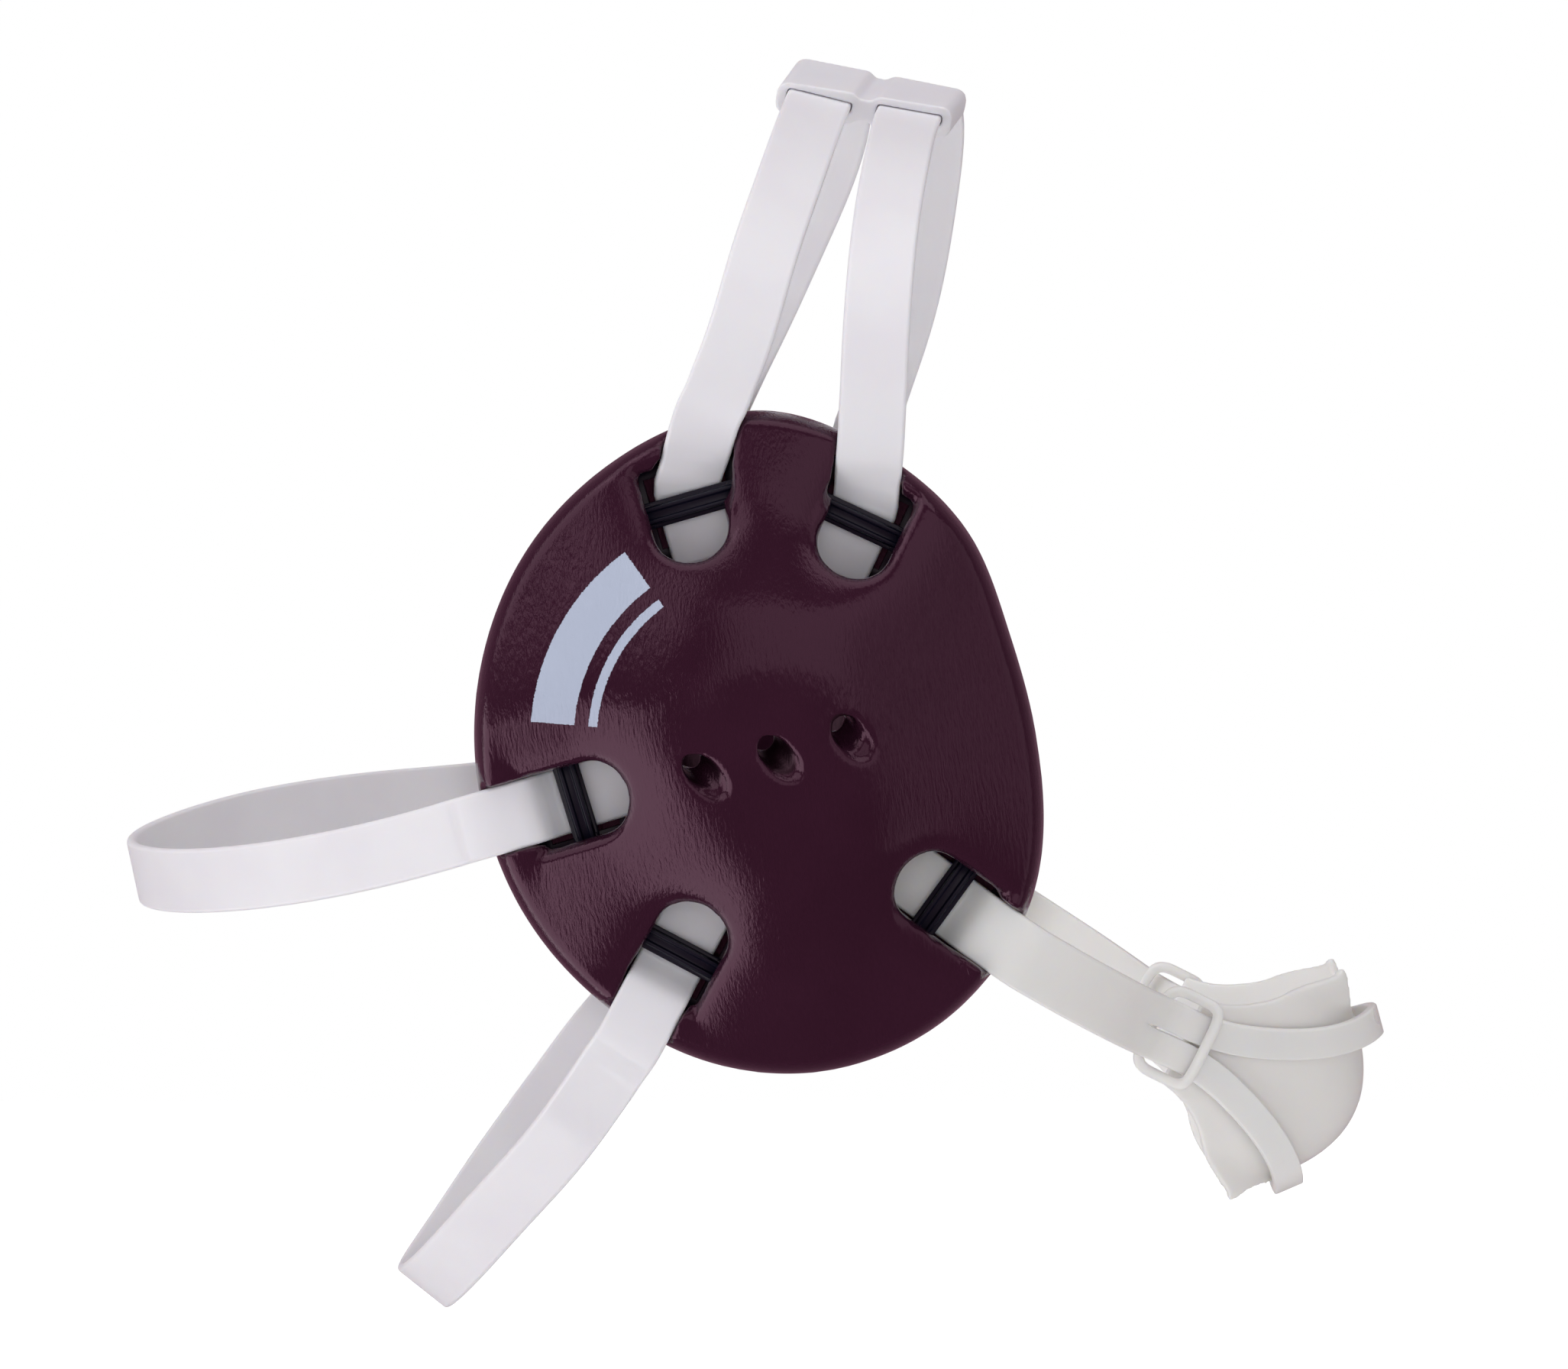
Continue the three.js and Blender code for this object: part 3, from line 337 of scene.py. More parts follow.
# %% Sizes
EAR_AXIS = Vector((-0.0218, 0.0, -0.1255))
CLEARANCE = 0.00035
PAD_FACE = 0.076
CUP_WIDTH, CUP_HEIGHT, CUP_DEPTH = 0.1092, 0.1286, 0.029
CUP_WALL, RIM_EDGE, RIM_ROUND = 0.006, 0.007, 0.0032
CAVITY_WIDTH, CAVITY_HEIGHT = 0.046, 0.060
CREASE_SOFTNESS = 0.0013
LIP_ROUND, VENT_LIP_ROUND = 0.0022, 0.0011
MOUTH_WIDTH, MOUTH_INBOARD, MOUTH_OUTBOARD, SLOT_SLANT = 0.0144, 0.0126, 0.0078, 0.25
SLOT_DIP, SLOT_DIP_REACH = 0.0024, 0.005
SLOT_WIDTH, SLOT_INBOARD, SLOT_OUTBOARD, SLOT_CORNER = 0.017, 0.010, 0.0095, 0.0016
STRAP_WIDTH, STRAP_THICKNESS, STRAP_BED, STRAP_EDGE = 0.013, 0.002, 0.0073, 0.0008
BRIDGE_RISE, BRIDGE_BEND, BRIDGE_LENGTH, BRIDGE_FALL = 0.0046, 0.0006, 0.003, 0.12
STRAP_RUN_OUT, STRAP_TURN, TAIL_LENGTH, SHOWN_TAIL = 0.013, 0.0035, 0.0094, 0.0118
STATION_STEP = 0.0015
ANCHOR_WIDTH, ANCHOR_RAIL, ANCHOR_END_BAR = 0.0208, 0.0027, 0.0022
ANCHOR_BAR_WIDTH, ANCHOR_PLATE, ANCHOR_BAR_HEIGHT = 0.0042, 0.0023, 0.0023
VENT_RADIUS, VENT_TILT, VENT_LEAN = 0.0027, 54, -47
VENT_PITCH, VENT_ROW_LEAN, VENT_FORWARD, VENT_UP = 0.0144, 15, 0.004, -0.0037
CROWN_HEIGHT, BACK_REACH, NAPE_DROP, CHIN_FORWARD = 0.1255, 0.127, 0.116, 0.1062
PLATE_BASE = STRAP_BED - CLEARANCE - ANCHOR_PLATE
BAR_BASE = STRAP_BED + STRAP_THICKNESS + CLEARANCE
POCKET_FLOOR = PLATE_BASE - CLEARANCE
POCKET_ROOF = BAR_BASE + ANCHOR_BAR_HEIGHT + CLEARANCE

HALF_WIDTH, HALF_HEIGHT = CUP_WIDTH / 2, CUP_HEIGHT / 2
MEAN_HALF = (HALF_WIDTH + HALF_HEIGHT) / 2
HALF_SPAN = PAD_FACE + STRAP_BED + STRAP_THICKNESS / 2
SIDES = {"right": -1, "left": 1}

# Columns: angle up from forward, reach as a share of the half sizes
CUP_OUTLINE = np.array([
    (0, 0.982), (19, 0.94), (40, 0.962), (64, 0.957), (90, 0.981), (122, 0.979), (154, 1.009),
    (180, 1.018), (206, 1.004), (236, 0.986), (262, 1.008), (288, 1.05), (312, 1.088), (334, 1.084)])

# Columns: angle, start of the fall as a share of the mean half size, slope
PETALS = [(12, 0.275, 0.43), (86, 0.35, 0.4), (152, 0.28, 0.42), (218, 0.26, 0.38), (276, 0.42, 0.43)]

# Columns: forward and up as shares of the half sizes, angle of the slot, angle of its strap, and
# how far the slot's mouth lies to one side of its anchor
SLOTS = {
    "crown_front": (0.346, 0.647, 65, 85.5, -0.0013),
    "crown_rear": (-0.244, 0.697, 106, 72.8, 0.0013),
    "back": (-0.657, -0.184, 197, 196.4, 0.0009),
    "nape": (-0.293, -0.647, 242, 242, 0.0008),
    "chin": (0.65, -0.49, -36, -35, 0.0006),
}


def heading(degrees):
    """Direction in the side view that turns up from forward."""
    return np.array([math.cos(math.radians(degrees)), 0.0, math.sin(math.radians(degrees))])


def vent_spots():
    """Middles of the vents in the side view."""
    return [np.array([VENT_FORWARD, 0, VENT_UP]) + place * VENT_PITCH * heading(VENT_ROW_LEAN)
            for place in (-1, 0, 1)]


def vent_aim(side):
    """The way a vent's bore points, outwards."""
    tilt = math.radians(VENT_TILT)
    return heading(VENT_LEAN) * math.sin(tilt) + np.array([0, side * math.cos(tilt), 0])


print("cup:", 1000 * CUP_WIDTH, "by", 1000 * CUP_HEIGHT, "by", 1000 * CUP_DEPTH, "mm")

# %% [markdown]
# The maroon skin. Its colour is nearly even, a little browner where the dip ran thin. Its
# wrinkles run up the cup, and they show only where a highlight breaks over them. On the upper
# rear of the shell lies one printed band in light blue: a mask in object coordinates, an arc
# about the ear axis with square ends. Printed ink sits flat, so it is rougher than the vinyl. A
# second mask paints shade: near-black colour deep in the vents' bores and in the ear cavity.

# %% Maroon vinyl with its printed band
BAND_RADIUS = 0.040
BAND_WIDTH = 0.0085
BAND_MIDDLE = math.radians(151)
BAND_SPREAD = math.radians(25)
LINE_OFFSET, LINE_WIDTH = 0.0078, 0.0018
BAND_FRAY, BAND_SOFT_EDGE, BAND_INNERMOST = 0.0004, 0.00006, 0.084
# Where the painted shade lies: the ear cavity's half sizes and depth, and the bore radii over which it fades
# out.
SHADE_HALF_WIDTH, SHADE_HALF_HEIGHT, SHADE_OUTERMOST = 0.0235, 0.0303, 0.0975
SHADE_BORE_FULL, SHADE_BORE_END = 1.02 * VENT_RADIUS, 1.12 * VENT_RADIUS


def ear_parts(tree, position):
    """Forward, across and up, counted from the ear axis."""
    centred = add_node(tree, "ShaderNodeVectorMath", (-900, 400), operation="SUBTRACT")
    join(tree, position, centred.inputs[0])
    centred.inputs[1].default_value = EAR_AXIS
    parts = add_node(tree, "ShaderNodeSeparateXYZ", (-750, 400))
    join(tree, centred.outputs[0], parts.inputs[0])
    return parts.outputs


def bore_shade_mask(tree, forward, across, up):
    """1 in the vents' bores and in the ear cavity, where near-black painted shade goes."""
    depth = math_node(tree, "ABSOLUTE", across)
    shares = [math_node(tree, "POWER", math_node(tree, "DIVIDE", part, half), 2.0)
              for part, half in ((forward, SHADE_HALF_WIDTH), (up, SHADE_HALF_HEIGHT))]
    inside = math_node(tree, "LESS_THAN", math_node(tree, "ADD", *shares), 1.0)
    mask = math_node(tree, "MULTIPLY", inside, math_node(tree, "LESS_THAN", depth, SHADE_OUTERMOST))
    point = add_node(tree, "ShaderNodeCombineXYZ", (-600, 900))
    for part, socket in zip((forward, depth, up), point.inputs):
        join(tree, part, socket)
    for spot in vent_spots():
        offset = add_node(tree, "ShaderNodeVectorMath", (-450, 900), operation="SUBTRACT")
        offset.inputs[1].default_value = (spot[0], PAD_FACE + CUP_DEPTH, spot[2])
        join(tree, point.outputs[0], offset.inputs[0])
        across_axis = add_node(tree, "ShaderNodeVectorMath", (-300, 900), operation="CROSS_PRODUCT")
        across_axis.inputs[1].default_value = vent_aim(1)
        join(tree, offset.outputs[0], across_axis.inputs[0])
        distance = add_node(tree, "ShaderNodeVectorMath", (-150, 900), operation="LENGTH")
        join(tree, across_axis.outputs[0], distance.inputs[0])
        bore = map_range(tree, distance.outputs["Value"], SHADE_BORE_FULL, SHADE_BORE_END, 1, 0)
        mask = math_node(tree, "MAXIMUM", mask, bore)
    return mask


def band_mask(tree, position, forward, across, up):
    """1 on the printed band, 0 off it, on both cups: an arc about the ear axis."""
    reach = math_node(tree, "SQRT", math_node(
        tree, "ADD", math_node(tree, "MULTIPLY", forward, forward), math_node(tree, "MULTIPLY", up, up)))
    fray = add_node(tree, "ShaderNodeTexNoise", (-750, 700))
    set_inputs(fray, Scale=2600.0, Detail=1.0)
    join(tree, position, fray.inputs["Vector"])
    ragged = math_node(tree, "MULTIPLY", math_node(tree, "SUBTRACT", fray.outputs[0], 0.5), BAND_FRAY)
    insides = []
    for radius, width in ((BAND_RADIUS, BAND_WIDTH), (BAND_RADIUS - LINE_OFFSET, LINE_WIDTH)):
        offset = math_node(tree, "ABSOLUTE", math_node(tree, "SUBTRACT", reach, radius))
        insides.append(math_node(tree, "SUBTRACT", width / 2, math_node(tree, "ADD", offset, ragged)))
    inside = math_node(tree, "MAXIMUM", *insides)
    angle = math_node(tree, "ARCTAN2", up, forward)
    turned = math_node(tree, "ABSOLUTE", math_node(tree, "SUBTRACT", angle, BAND_MIDDLE))
    ends = math_node(tree, "MULTIPLY", math_node(tree, "SUBTRACT", BAND_SPREAD, turned), BAND_RADIUS)
    nearest = math_node(tree, "MINIMUM", inside, math_node(tree, "ADD", ends, ragged))
    outer = math_node(tree, "GREATER_THAN", math_node(tree, "ABSOLUTE", across), BAND_INNERMOST)
    return math_node(tree, "MULTIPLY", map_range(tree, nearest, 0, BAND_SOFT_EDGE, 0, 1), outer)


maroon_vinyl, tree, shader = new_material("maroon_vinyl")
position = add_node(tree, "ShaderNodeTexCoord", (-1200, 0)).outputs["Object"]
skin = place_group(tree, wrinkle, position, Scale=1900.0, Stretch=6.5, Lean=0.12, Warp=0.0012)
deep, lifted = linear(41, 17, 31), linear(46, 20, 35)
vinyl_colour = mix_colours(tree, map_range(tree, skin.outputs["Patches"], 0.35, 0.7, 0, 1), deep, lifted)
parts = ear_parts(tree, position)
mask = band_mask(tree, position, *parts)
# Painted shade: this mask darkens the vents' bores and the ear cavity to near-black.
painted_bore_shade = bore_shade_mask(tree, *parts)
ink = mix_colours(tree, skin.outputs["Patches"], linear(180, 191, 213), linear(190, 200, 219))
skin_colour = mix_colours(tree, mask, vinyl_colour, ink)
# The painted shade: near-black colour in the bores and the cavity, standing in for their shadow.
join(tree, mix_colours(tree, painted_bore_shade, skin_colour, linear(16, 4, 10)), shader.inputs["Base Color"])
sheen = map_range(tree, skin.outputs["Patches"], 0.3, 0.7, 0.07, 0.1)
dull_ink = math_node(tree, "MULTIPLY", mask, 0.22)
dull_bore_shade = math_node(tree, "MULTIPLY", painted_bore_shade, 0.3)
duller = math_node(tree, "ADD", dull_ink, dull_bore_shade)
join(tree, math_node(tree, "ADD", sheen, duller), shader.inputs["Roughness"])
join(tree, bump(tree, skin.outputs["Height"], 0.0001, 0.8), shader.inputs["Normal"])
set_inputs(shader, IOR=1.5, Specular_Tint=(1.0, 0.57, 0.76, 1))
print("band:", round(2000 * BAND_SPREAD * BAND_RADIUS), "mm long")

# %% [markdown]
# The straps are soft white vinyl. Light goes a little way into it, so its thin edges glow and its
# shadows stay light: that is subsurface scattering, with a radius near the strap's thickness. The
# chin strap and its cup are the same vinyl in a warmer white. The anchors are hard black plastic.


# %% White vinyl and black plastic
def soft_white(name, plain, worn, roughness, scatter):
    """Soft vinyl: a faint mottle, fine grain and a short scatter under the skin."""
    material, tree, shader = new_material(name)
    position = add_node(tree, "ShaderNodeTexCoord", (-1200, 0)).outputs["Object"]
    skin = place_group(tree, wrinkle, position, Scale=700.0, Stretch=1.3, Lean=0.0, Warp=0.0004)
    mottle = map_range(tree, skin.outputs["Patches"], 0.38, 0.72, 0, 1, smooth=True)
    join(tree, mix_colours(tree, mottle, plain, worn), shader.inputs["Base Color"])
    join(tree, map_range(tree, skin.outputs["Patches"], 0.3, 0.7, roughness - 0.03, roughness + 0.03),
         shader.inputs["Roughness"])
    join(tree, bump(tree, skin.outputs["Height"], 0.000012, 0.25), shader.inputs["Normal"])
    set_inputs(shader, IOR=1.48, Subsurface_Weight=0.35, Subsurface_Radius=scatter, Subsurface_Scale=1.0)
    return material


white_vinyl = soft_white("white_vinyl", linear(234, 232, 237), linear(231, 228, 234), 0.4,
                         (0.0016, 0.0012, 0.0008))
warm_white_vinyl = soft_white("warm_white_vinyl", linear(237, 235, 234), linear(236, 234, 233), 0.3,
                              (0.003, 0.0022, 0.0012))

black_plastic, tree, shader = new_material("black_plastic")
position = add_node(tree, "ShaderNodeTexCoord", (-1200, 0)).outputs["Object"]
skin = place_group(tree, wrinkle, position, Scale=2400.0, Stretch=1.0, Lean=0.0, Warp=0.0)
join(tree, mix_colours(tree, skin.outputs["Patches"], linear(11, 12, 26), linear(15, 16, 32)),
     shader.inputs["Base Color"])
join(tree, map_range(tree, skin.outputs["Patches"], 0.3, 0.7, 0.26, 0.4), shader.inputs["Roughness"])
join(tree, bump(tree, skin.outputs["Height"], 0.00003, 0.2), shader.inputs["Normal"])
shader.inputs["Specular IOR Level"].default_value = 0.35
print("materials:", [material.name for material in bpy.data.materials])

# %% [markdown]
# Every piece is shaped with the same few tools: a skin over rings of points, a cut or a join with
# another solid, an even skin of small squares, and a rounding of edges. The last of them gives a
# piece its finish and its place in the assembly, and hides the solid that it stands for.

# %% Shape helpers
RELAX_STRENGTH = 0.5


def smoothstep(value, low, high):
    share = np.clip((value - low) / (high - low), 0, 1)
    return share * share * (3 - 2 * share)


def unit(rows):
    """Vectors of length one."""
    rows = np.asarray(rows, float)
    return rows / np.linalg.norm(rows, axis=-1, keepdims=True)


def make_object(name, points, faces):
    """A mesh object from points that count from the ear axis."""
    mesh = bpy.data.meshes.new(name)
    mesh.from_pydata((np.asarray(points) + np.array(EAR_AXIS)).tolist(), [], faces)
    made = bpy.data.objects.new(name, mesh)
    bpy.context.collection.objects.link(made)
    return made


def skin_rings(rings, closed=False, tips=()):
    """Points and faces of a skin over rings of equal length. Tips close the ends with fans."""
    count = len(rings[0])
    points = [point for ring in rings for point in ring]
    faces = []
    for row in range(len(rings) - (0 if closed else 1)):
        below, above = row * count, (row + 1) % len(rings) * count
        for column in range(count):
            after = (column + 1) % count
            faces.append((below + column, below + after, above + after, above + column))
    last = (len(rings) - 1) * count
    if len(tips):
        points += list(tips)
        first_tip, last_tip = len(points) - 2, len(points) - 1
        for column in range(count):
            after = (column + 1) % count
            faces += [(first_tip, after, column), (last_tip, last + column, last + after)]
    elif not closed:
        faces += [tuple(range(count))[::-1], tuple(range(last, last + count))]
    return points, faces


def face_outwards(made):
    """Turns every face of a closed mesh outwards."""
    work = bmesh.new()
    work.from_mesh(made.data)
    bmesh.ops.recalc_face_normals(work, faces=work.faces)
    work.to_mesh(made.data)
    work.free()
    return made


def settle(made):
    """Replaces an object's mesh by the result of its modifiers, and drops them."""
    graph = bpy.context.evaluated_depsgraph_get()
    mesh = bpy.data.meshes.new_from_object(made.evaluated_get(graph))
    old = made.data
    made.modifiers.clear()
    made.data = mesh
    mesh.name = made.name
    bpy.data.meshes.remove(old)
    return made


def cut_or_join(made, tools, operation):
    """Boolean with each tool in turn; the tools are used up."""
    for tool in tools:
        step = made.modifiers.new("step", "BOOLEAN")
        step.operation, step.solver, step.object = operation, "MANIFOLD", tool
        settle(made)
        bpy.data.objects.remove(tool)
    return made


def remesh(made, voxel):
    """An even skin of small quads over a solid."""
    step = made.modifiers.new("even", "REMESH")
    step.mode, step.voxel_size, step.use_smooth_shade = "VOXEL", voxel, True
    return settle(made)


def mesh_points(mesh):
    points = np.empty(len(mesh.vertices) * 3, np.float32)
    mesh.vertices.foreach_get("co", points)
    return points.reshape(-1, 3).astype(float)


def put_points(mesh, points):
    mesh.vertices.foreach_set("co", points.astype(np.float32).ravel())
    mesh.update()


def relax(mesh, rounds, hold=None):
    """Moves each point towards the middle of its neighbours, which rounds edges off. Hold is 1
    where a point stays."""
    points = mesh_points(mesh)
    edges = np.empty(len(mesh.edges) * 2, np.int32)
    mesh.edges.foreach_get("vertices", edges)
    edges = edges.reshape(-1, 2)
    degree = np.bincount(edges.ravel(), minlength=len(points))[:, None]
    free = RELAX_STRENGTH if hold is None else RELAX_STRENGTH * (1 - hold)[:, None]
    for _ in range(rounds):
        total = np.zeros_like(points)
        for axis in range(3):
            total[:, axis] = (np.bincount(edges[:, 0], points[edges[:, 1], axis], len(points))
                              + np.bincount(edges[:, 1], points[edges[:, 0], axis], len(points)))
        points += free * (total / degree - points)
    put_points(mesh, points)


def shade_smooth(made):
    made.data.polygons.foreach_set("use_smooth", np.ones(len(made.data.polygons), bool))
    return made


def weigh_normals(made):
    """Lets wide faces lead the shading, so that a flat face stays flat up to its rounded edge."""
    normals = np.zeros((len(made.data.vertices), 3))
    for polygon in made.data.polygons:
        normals[list(polygon.vertices)] += np.array(polygon.normal) * polygon.area
    made.data.normals_split_custom_set_from_vertices(unit(normals).tolist())


def finish_piece(made, node, material):
    """Gives a piece its finish and its place in the assembly."""
    made.data.materials.clear()
    made.data.materials.append(material)
    shade_smooth(made)
    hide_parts(node)
    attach(made, "root")
    print(made.name, "faces:", len(made.data.polygons))


print("shape helpers ready")

# %% [markdown]
# A strap is a flat band that follows a path. Its stations give the middle of the band, the way
# its width lies and the way its face looks. In a slot the strap dives under the anchor's bar, and
# past the slot it rises over the shell; beyond that a short table gives the loose run across the
# head. A smooth curve through the stations then gives as many places as the surface needs.


# %% Strap stations
def outline_share(degrees):
    """Reach of the cup's outline at angles, on a smooth closed curve through its table."""
    turn = np.mod(degrees, 360)
    angles, reach = CUP_OUTLINE.T
    row = np.searchsorted(angles, turn, side="right") - 1
    angles = np.concatenate([angles[-1:] - 360, angles, angles[:2] + 360])
    reach = np.concatenate([reach[-1:], reach, reach[:2]])
    a0, a1, a2, a3 = (angles[row + step] for step in range(4))
    r0, r1, r2, r3 = (reach[row + step] for step in range(4))
    share = (turn - a1) / (a2 - a1)
    slope_start = (r2 - r0) / (a2 - a0) * (a2 - a1)
    slope_end = (r3 - r1) / (a3 - a1) * (a2 - a1)
    square, cube = share ** 2, share ** 3
    return (r1 * (2 * cube - 3 * square + 1) + slope_start * (cube - 2 * square + share)
            + r2 * (3 * square - 2 * cube) + slope_end * (cube - square))


def outline_reach(forward, height):
    """Distance from the middle to the outline, in the direction of points of the side view."""
    share = outline_share(np.degrees(np.arctan2(height / HALF_HEIGHT, forward / HALF_WIDTH)))
    across = np.hypot(forward / HALF_WIDTH, height / HALF_HEIGHT)
    return share * np.hypot(forward, height) / np.maximum(across, 1e-6)


def slot_bar(slot):
    forward, up = SLOTS[slot][:2]
    return np.array([forward * HALF_WIDTH, 0.0, up * HALF_HEIGHT])


def strap_level(outboard):
    """Height of a strap's middle over the pad's face, from the bar outwards."""
    rise = BRIDGE_RISE * smoothstep(outboard, ANCHOR_BAR_WIDTH / 2 + BRIDGE_BEND, SLOT_OUTBOARD)
    leave = np.maximum(outboard - SLOT_OUTBOARD - BRIDGE_LENGTH, 0)
    return STRAP_BED + STRAP_THICKNESS / 2 + rise - leave * BRIDGE_FALL


SLOT_PLACES = [-0.006, -0.004, -0.002, 0, 0.0015, 0.003, 0.0045, 0.006, 0.0075, 0.009, 0.011]


def slot_stations(slot, side):
    """Middles and half widths, as vectors, of a strap in its slot."""
    bar, angle, strap_angle = slot_bar(slot), SLOTS[slot][2], SLOTS[slot][3]
    turn_start = ANCHOR_BAR_WIDTH / 2 + 0.0015
    bridge = outline_reach(bar[0], bar[2]) - np.linalg.norm(bar) + BRIDGE_LENGTH
    stations = []
    for place in [-SHOWN_TAIL, -0.009, *SLOT_PLACES, max(bridge, STRAP_RUN_OUT)]:
        straight = min(place, turn_start)
        middle = bar + heading(angle) * straight + heading(strap_angle) * (place - straight)
        turned = smoothstep(place, turn_start - STRAP_TURN, turn_start + STRAP_TURN)
        lean = angle + (strap_angle - angle) * turned - 90
        edges = []
        for sign in (-1, 1):
            edge = middle + heading(lean) * sign * STRAP_WIDTH / 2
            edge[1] = side * (PAD_FACE + strap_level((edge - bar) @ heading(angle)))
            edges.append(edge)
        stations.append(((edges[0] + edges[1]) / 2, (edges[1] - edges[0]) / 2))
    return stations


def run_stations(rows, reach, mirror=1):
    """Stations of a loose run: forward, up and across as shares, and the lean of the width."""
    return [(np.array([forward * reach, mirror * across * HALF_SPAN, up * reach]),
             heading(lean) * STRAP_WIDTH / 2) for forward, up, across, lean in rows]


def curve_points(points, places):
    """Places on the centripetal curve through points; a whole number is a point itself."""
    padded = np.vstack([2 * points[0] - points[1], points, 2 * points[-1] - points[-2]])
    row = np.clip(np.floor(places).astype(int), 0, len(points) - 2)
    share = (places - row)[:, None]
    p0, p1, p2, p3 = (padded[row + step] for step in range(4))
    gaps = [np.maximum(np.sqrt(np.linalg.norm(end - start, axis=1)), 1e-4)[:, None]
            for start, end in ((p0, p1), (p1, p2), (p2, p3))]
    g0, g1, g2 = gaps
    start_slope = ((p1 - p0) / g0 - (p2 - p0) / (g0 + g1) + (p2 - p1) / g1) * g1
    end_slope = ((p2 - p1) / g1 - (p3 - p1) / (g1 + g2) + (p3 - p2) / g2) * g1
    return (p1 + start_slope * share + (3 * (p2 - p1) - 2 * start_slope - end_slope) * share ** 2
            + (2 * (p1 - p2) + start_slope + end_slope) * share ** 3)


def even_out(rows, weight, spread=7):
    """Evens rows out over their neighbours, without drawing a wide bend in."""
    offsets = np.arange(-3 * spread, 3 * spread + 1)
    kernel = np.exp(-0.5 * (offsets / spread) ** 2)
    kernel /= kernel.sum()

    def blur(values):
        padded = np.pad(values, ((3 * spread, 3 * spread), (0, 0)), mode="reflect", reflect_type="odd")
        return np.stack([np.convolve(column, kernel, mode="valid") for column in padded.T], 1)

    smooth = blur(rows)
    smooth += blur(rows - smooth)
    return rows + weight[:, None] * (smooth - rows)


def smooth_stations(stations, loose=None):
    """Even stations: middle, width direction, outward direction and half width, one row each.
    Loose is the first and the last station of a run that hangs free, which is evened out."""
    middles = np.array([middle for middle, _ in stations])
    widths = np.array([width for _, width in stations])
    places = [0.0]
    for row, gap in enumerate(np.linalg.norm(np.diff(middles, axis=0), axis=1)):
        count = max(1, round(gap / STATION_STEP))
        places += [row + (part + 1) / count for part in range(count)]
    places = np.array(places)
    middle = curve_points(middles, places)
    ahead = curve_points(middles, np.minimum(places + 0.001, len(middles) - 1))
    behind = curve_points(middles, np.maximum(places - 0.001, 0))
    travel = unit(ahead - behind)
    width = curve_points(unit(widths), places)
    if loose is not None:
        weight = smoothstep(places, loose[0], loose[0] + 1) * smoothstep(-places, -loose[1], 1 - loose[1])
        middle, width = even_out(middle, weight), even_out(width, weight)
        travel = unit(travel + weight[:, None] * (unit(np.gradient(middle, axis=0)) - travel))
    width = unit(width - travel * np.sum(width * travel, axis=1, keepdims=True))
    outward = unit(np.cross(width, travel))
    half = np.interp(places, np.arange(len(stations)), np.linalg.norm(widths, axis=1))
    return {"middle": middle, "width": width, "outward": outward, "half": half}


# Columns: forward and up as shares of the reach, across as a share of the half span, lean
CROWN_REAR_RUN = [
    (-0.052, 0.548, -1.02, -17), (-0.022, 0.645, -0.97, -17), (0.002, 0.735, -0.86, -16),
    (0.035, 0.831, -0.7, -16), (0.062, 0.912, -0.53, -16), (0.082, 0.967, -0.34, -15),
    (0.099, 1.011, -0.17, -14), (0.115, 1.037, -0.03, -13), (0.131, 1.035, 0.15, -13),
    (0.123, 0.955, 0.38, -18), (0.095, 0.873, 0.57, -22), (0.05, 0.773, 0.78, -22),
    (0.008, 0.68, 0.92, -20), (-0.033, 0.594, 1.0, -18)]
CROWN_FRONT_RUN = [
    (0.174, 0.548, -1.02, -4), (0.182, 0.66, -0.94, -4), (0.19, 0.75, -0.84, -5),
    (0.204, 0.843, -0.68, -7), (0.219, 0.914, -0.5, -9), (0.229, 0.952, -0.32, -10),
    (0.242, 0.986, -0.17, -10.5), (0.259, 1.009, -0.03, -10.5), (0.275, 1.007, 0.15, -10),
    (0.281, 0.94, 0.37, -6), (0.272, 0.85, 0.58, -5), (0.258, 0.75, 0.77, -6),
    (0.236, 0.65, 0.92, -6), (0.208, 0.56, 1.0, -5)]
BACK_RUN = [
    (-0.545, -0.173, -0.93, 106), (-0.65, -0.2, -0.82, 105), (-0.765, -0.224, -0.66, 104),
    (-0.866, -0.239, -0.48, 103), (-0.948, -0.245, -0.27, 102), (-0.996, -0.241, -0.06, 102),
    (-0.99, -0.226, 0.13, 102), (-0.93, -0.203, 0.33, 102), (-0.83, -0.178, 0.53, 102),
    (-0.715, -0.162, 0.71, 103), (-0.6, -0.152, 0.87, 105)]
NAPE_RUN = [
    (-0.262, -0.575, -0.97, 151), (-0.32, -0.665, -0.85, 149), (-0.385, -0.75, -0.68, 146),
    (-0.452, -0.83, -0.5, 144), (-0.525, -0.92, -0.29, 142), (-0.583, -0.985, -0.09, 141.5),
    (-0.594, -0.989, 0.07, 141.5), (-0.55, -0.93, 0.26, 142), (-0.487, -0.84, 0.49, 144),
    (-0.42, -0.75, 0.68, 147), (-0.345, -0.655, 0.85, 150), (-0.276, -0.56, 0.97, 152)]
CHIN_RUN = [(0.556, -0.447, -0.96, -122), (0.628, -0.4905, -0.85, -120), (0.69, -0.529, -0.7, -118)]


def strap_stations(slot, rows, reach):
    right, left = slot_stations(slot, -1), slot_stations(slot, 1)[::-1]
    loose = len(right) - 1, len(right) + len(rows)
    return smooth_stations([*right, *run_stations(rows, reach), *left], loose=loose)


STRAP_PATHS = {
    "crown_strap_rear": strap_stations("crown_rear", CROWN_REAR_RUN, CROWN_HEIGHT),
    "crown_strap_front": strap_stations("crown_front", CROWN_FRONT_RUN, CROWN_HEIGHT),
    "back_strap": strap_stations("back", BACK_RUN, BACK_REACH),
    "nape_strap": strap_stations("nape", NAPE_RUN, NAPE_DROP),
}
for name, path in STRAP_PATHS.items():
    length = np.linalg.norm(np.diff(path["middle"], axis=0), axis=1).sum()
    print(name, "length:", round(1000 * length), "mm")

# %% [markdown]
# The band itself is swept by Geometry Nodes. A chain of points carries each station's outward
# direction as an attribute. The tree turns the chain into a curve, sets that direction as the
# curve's own normal, and sweeps a rounded rectangle along it. So width, thickness and edge
# radius are inputs that can be changed without touching the path.


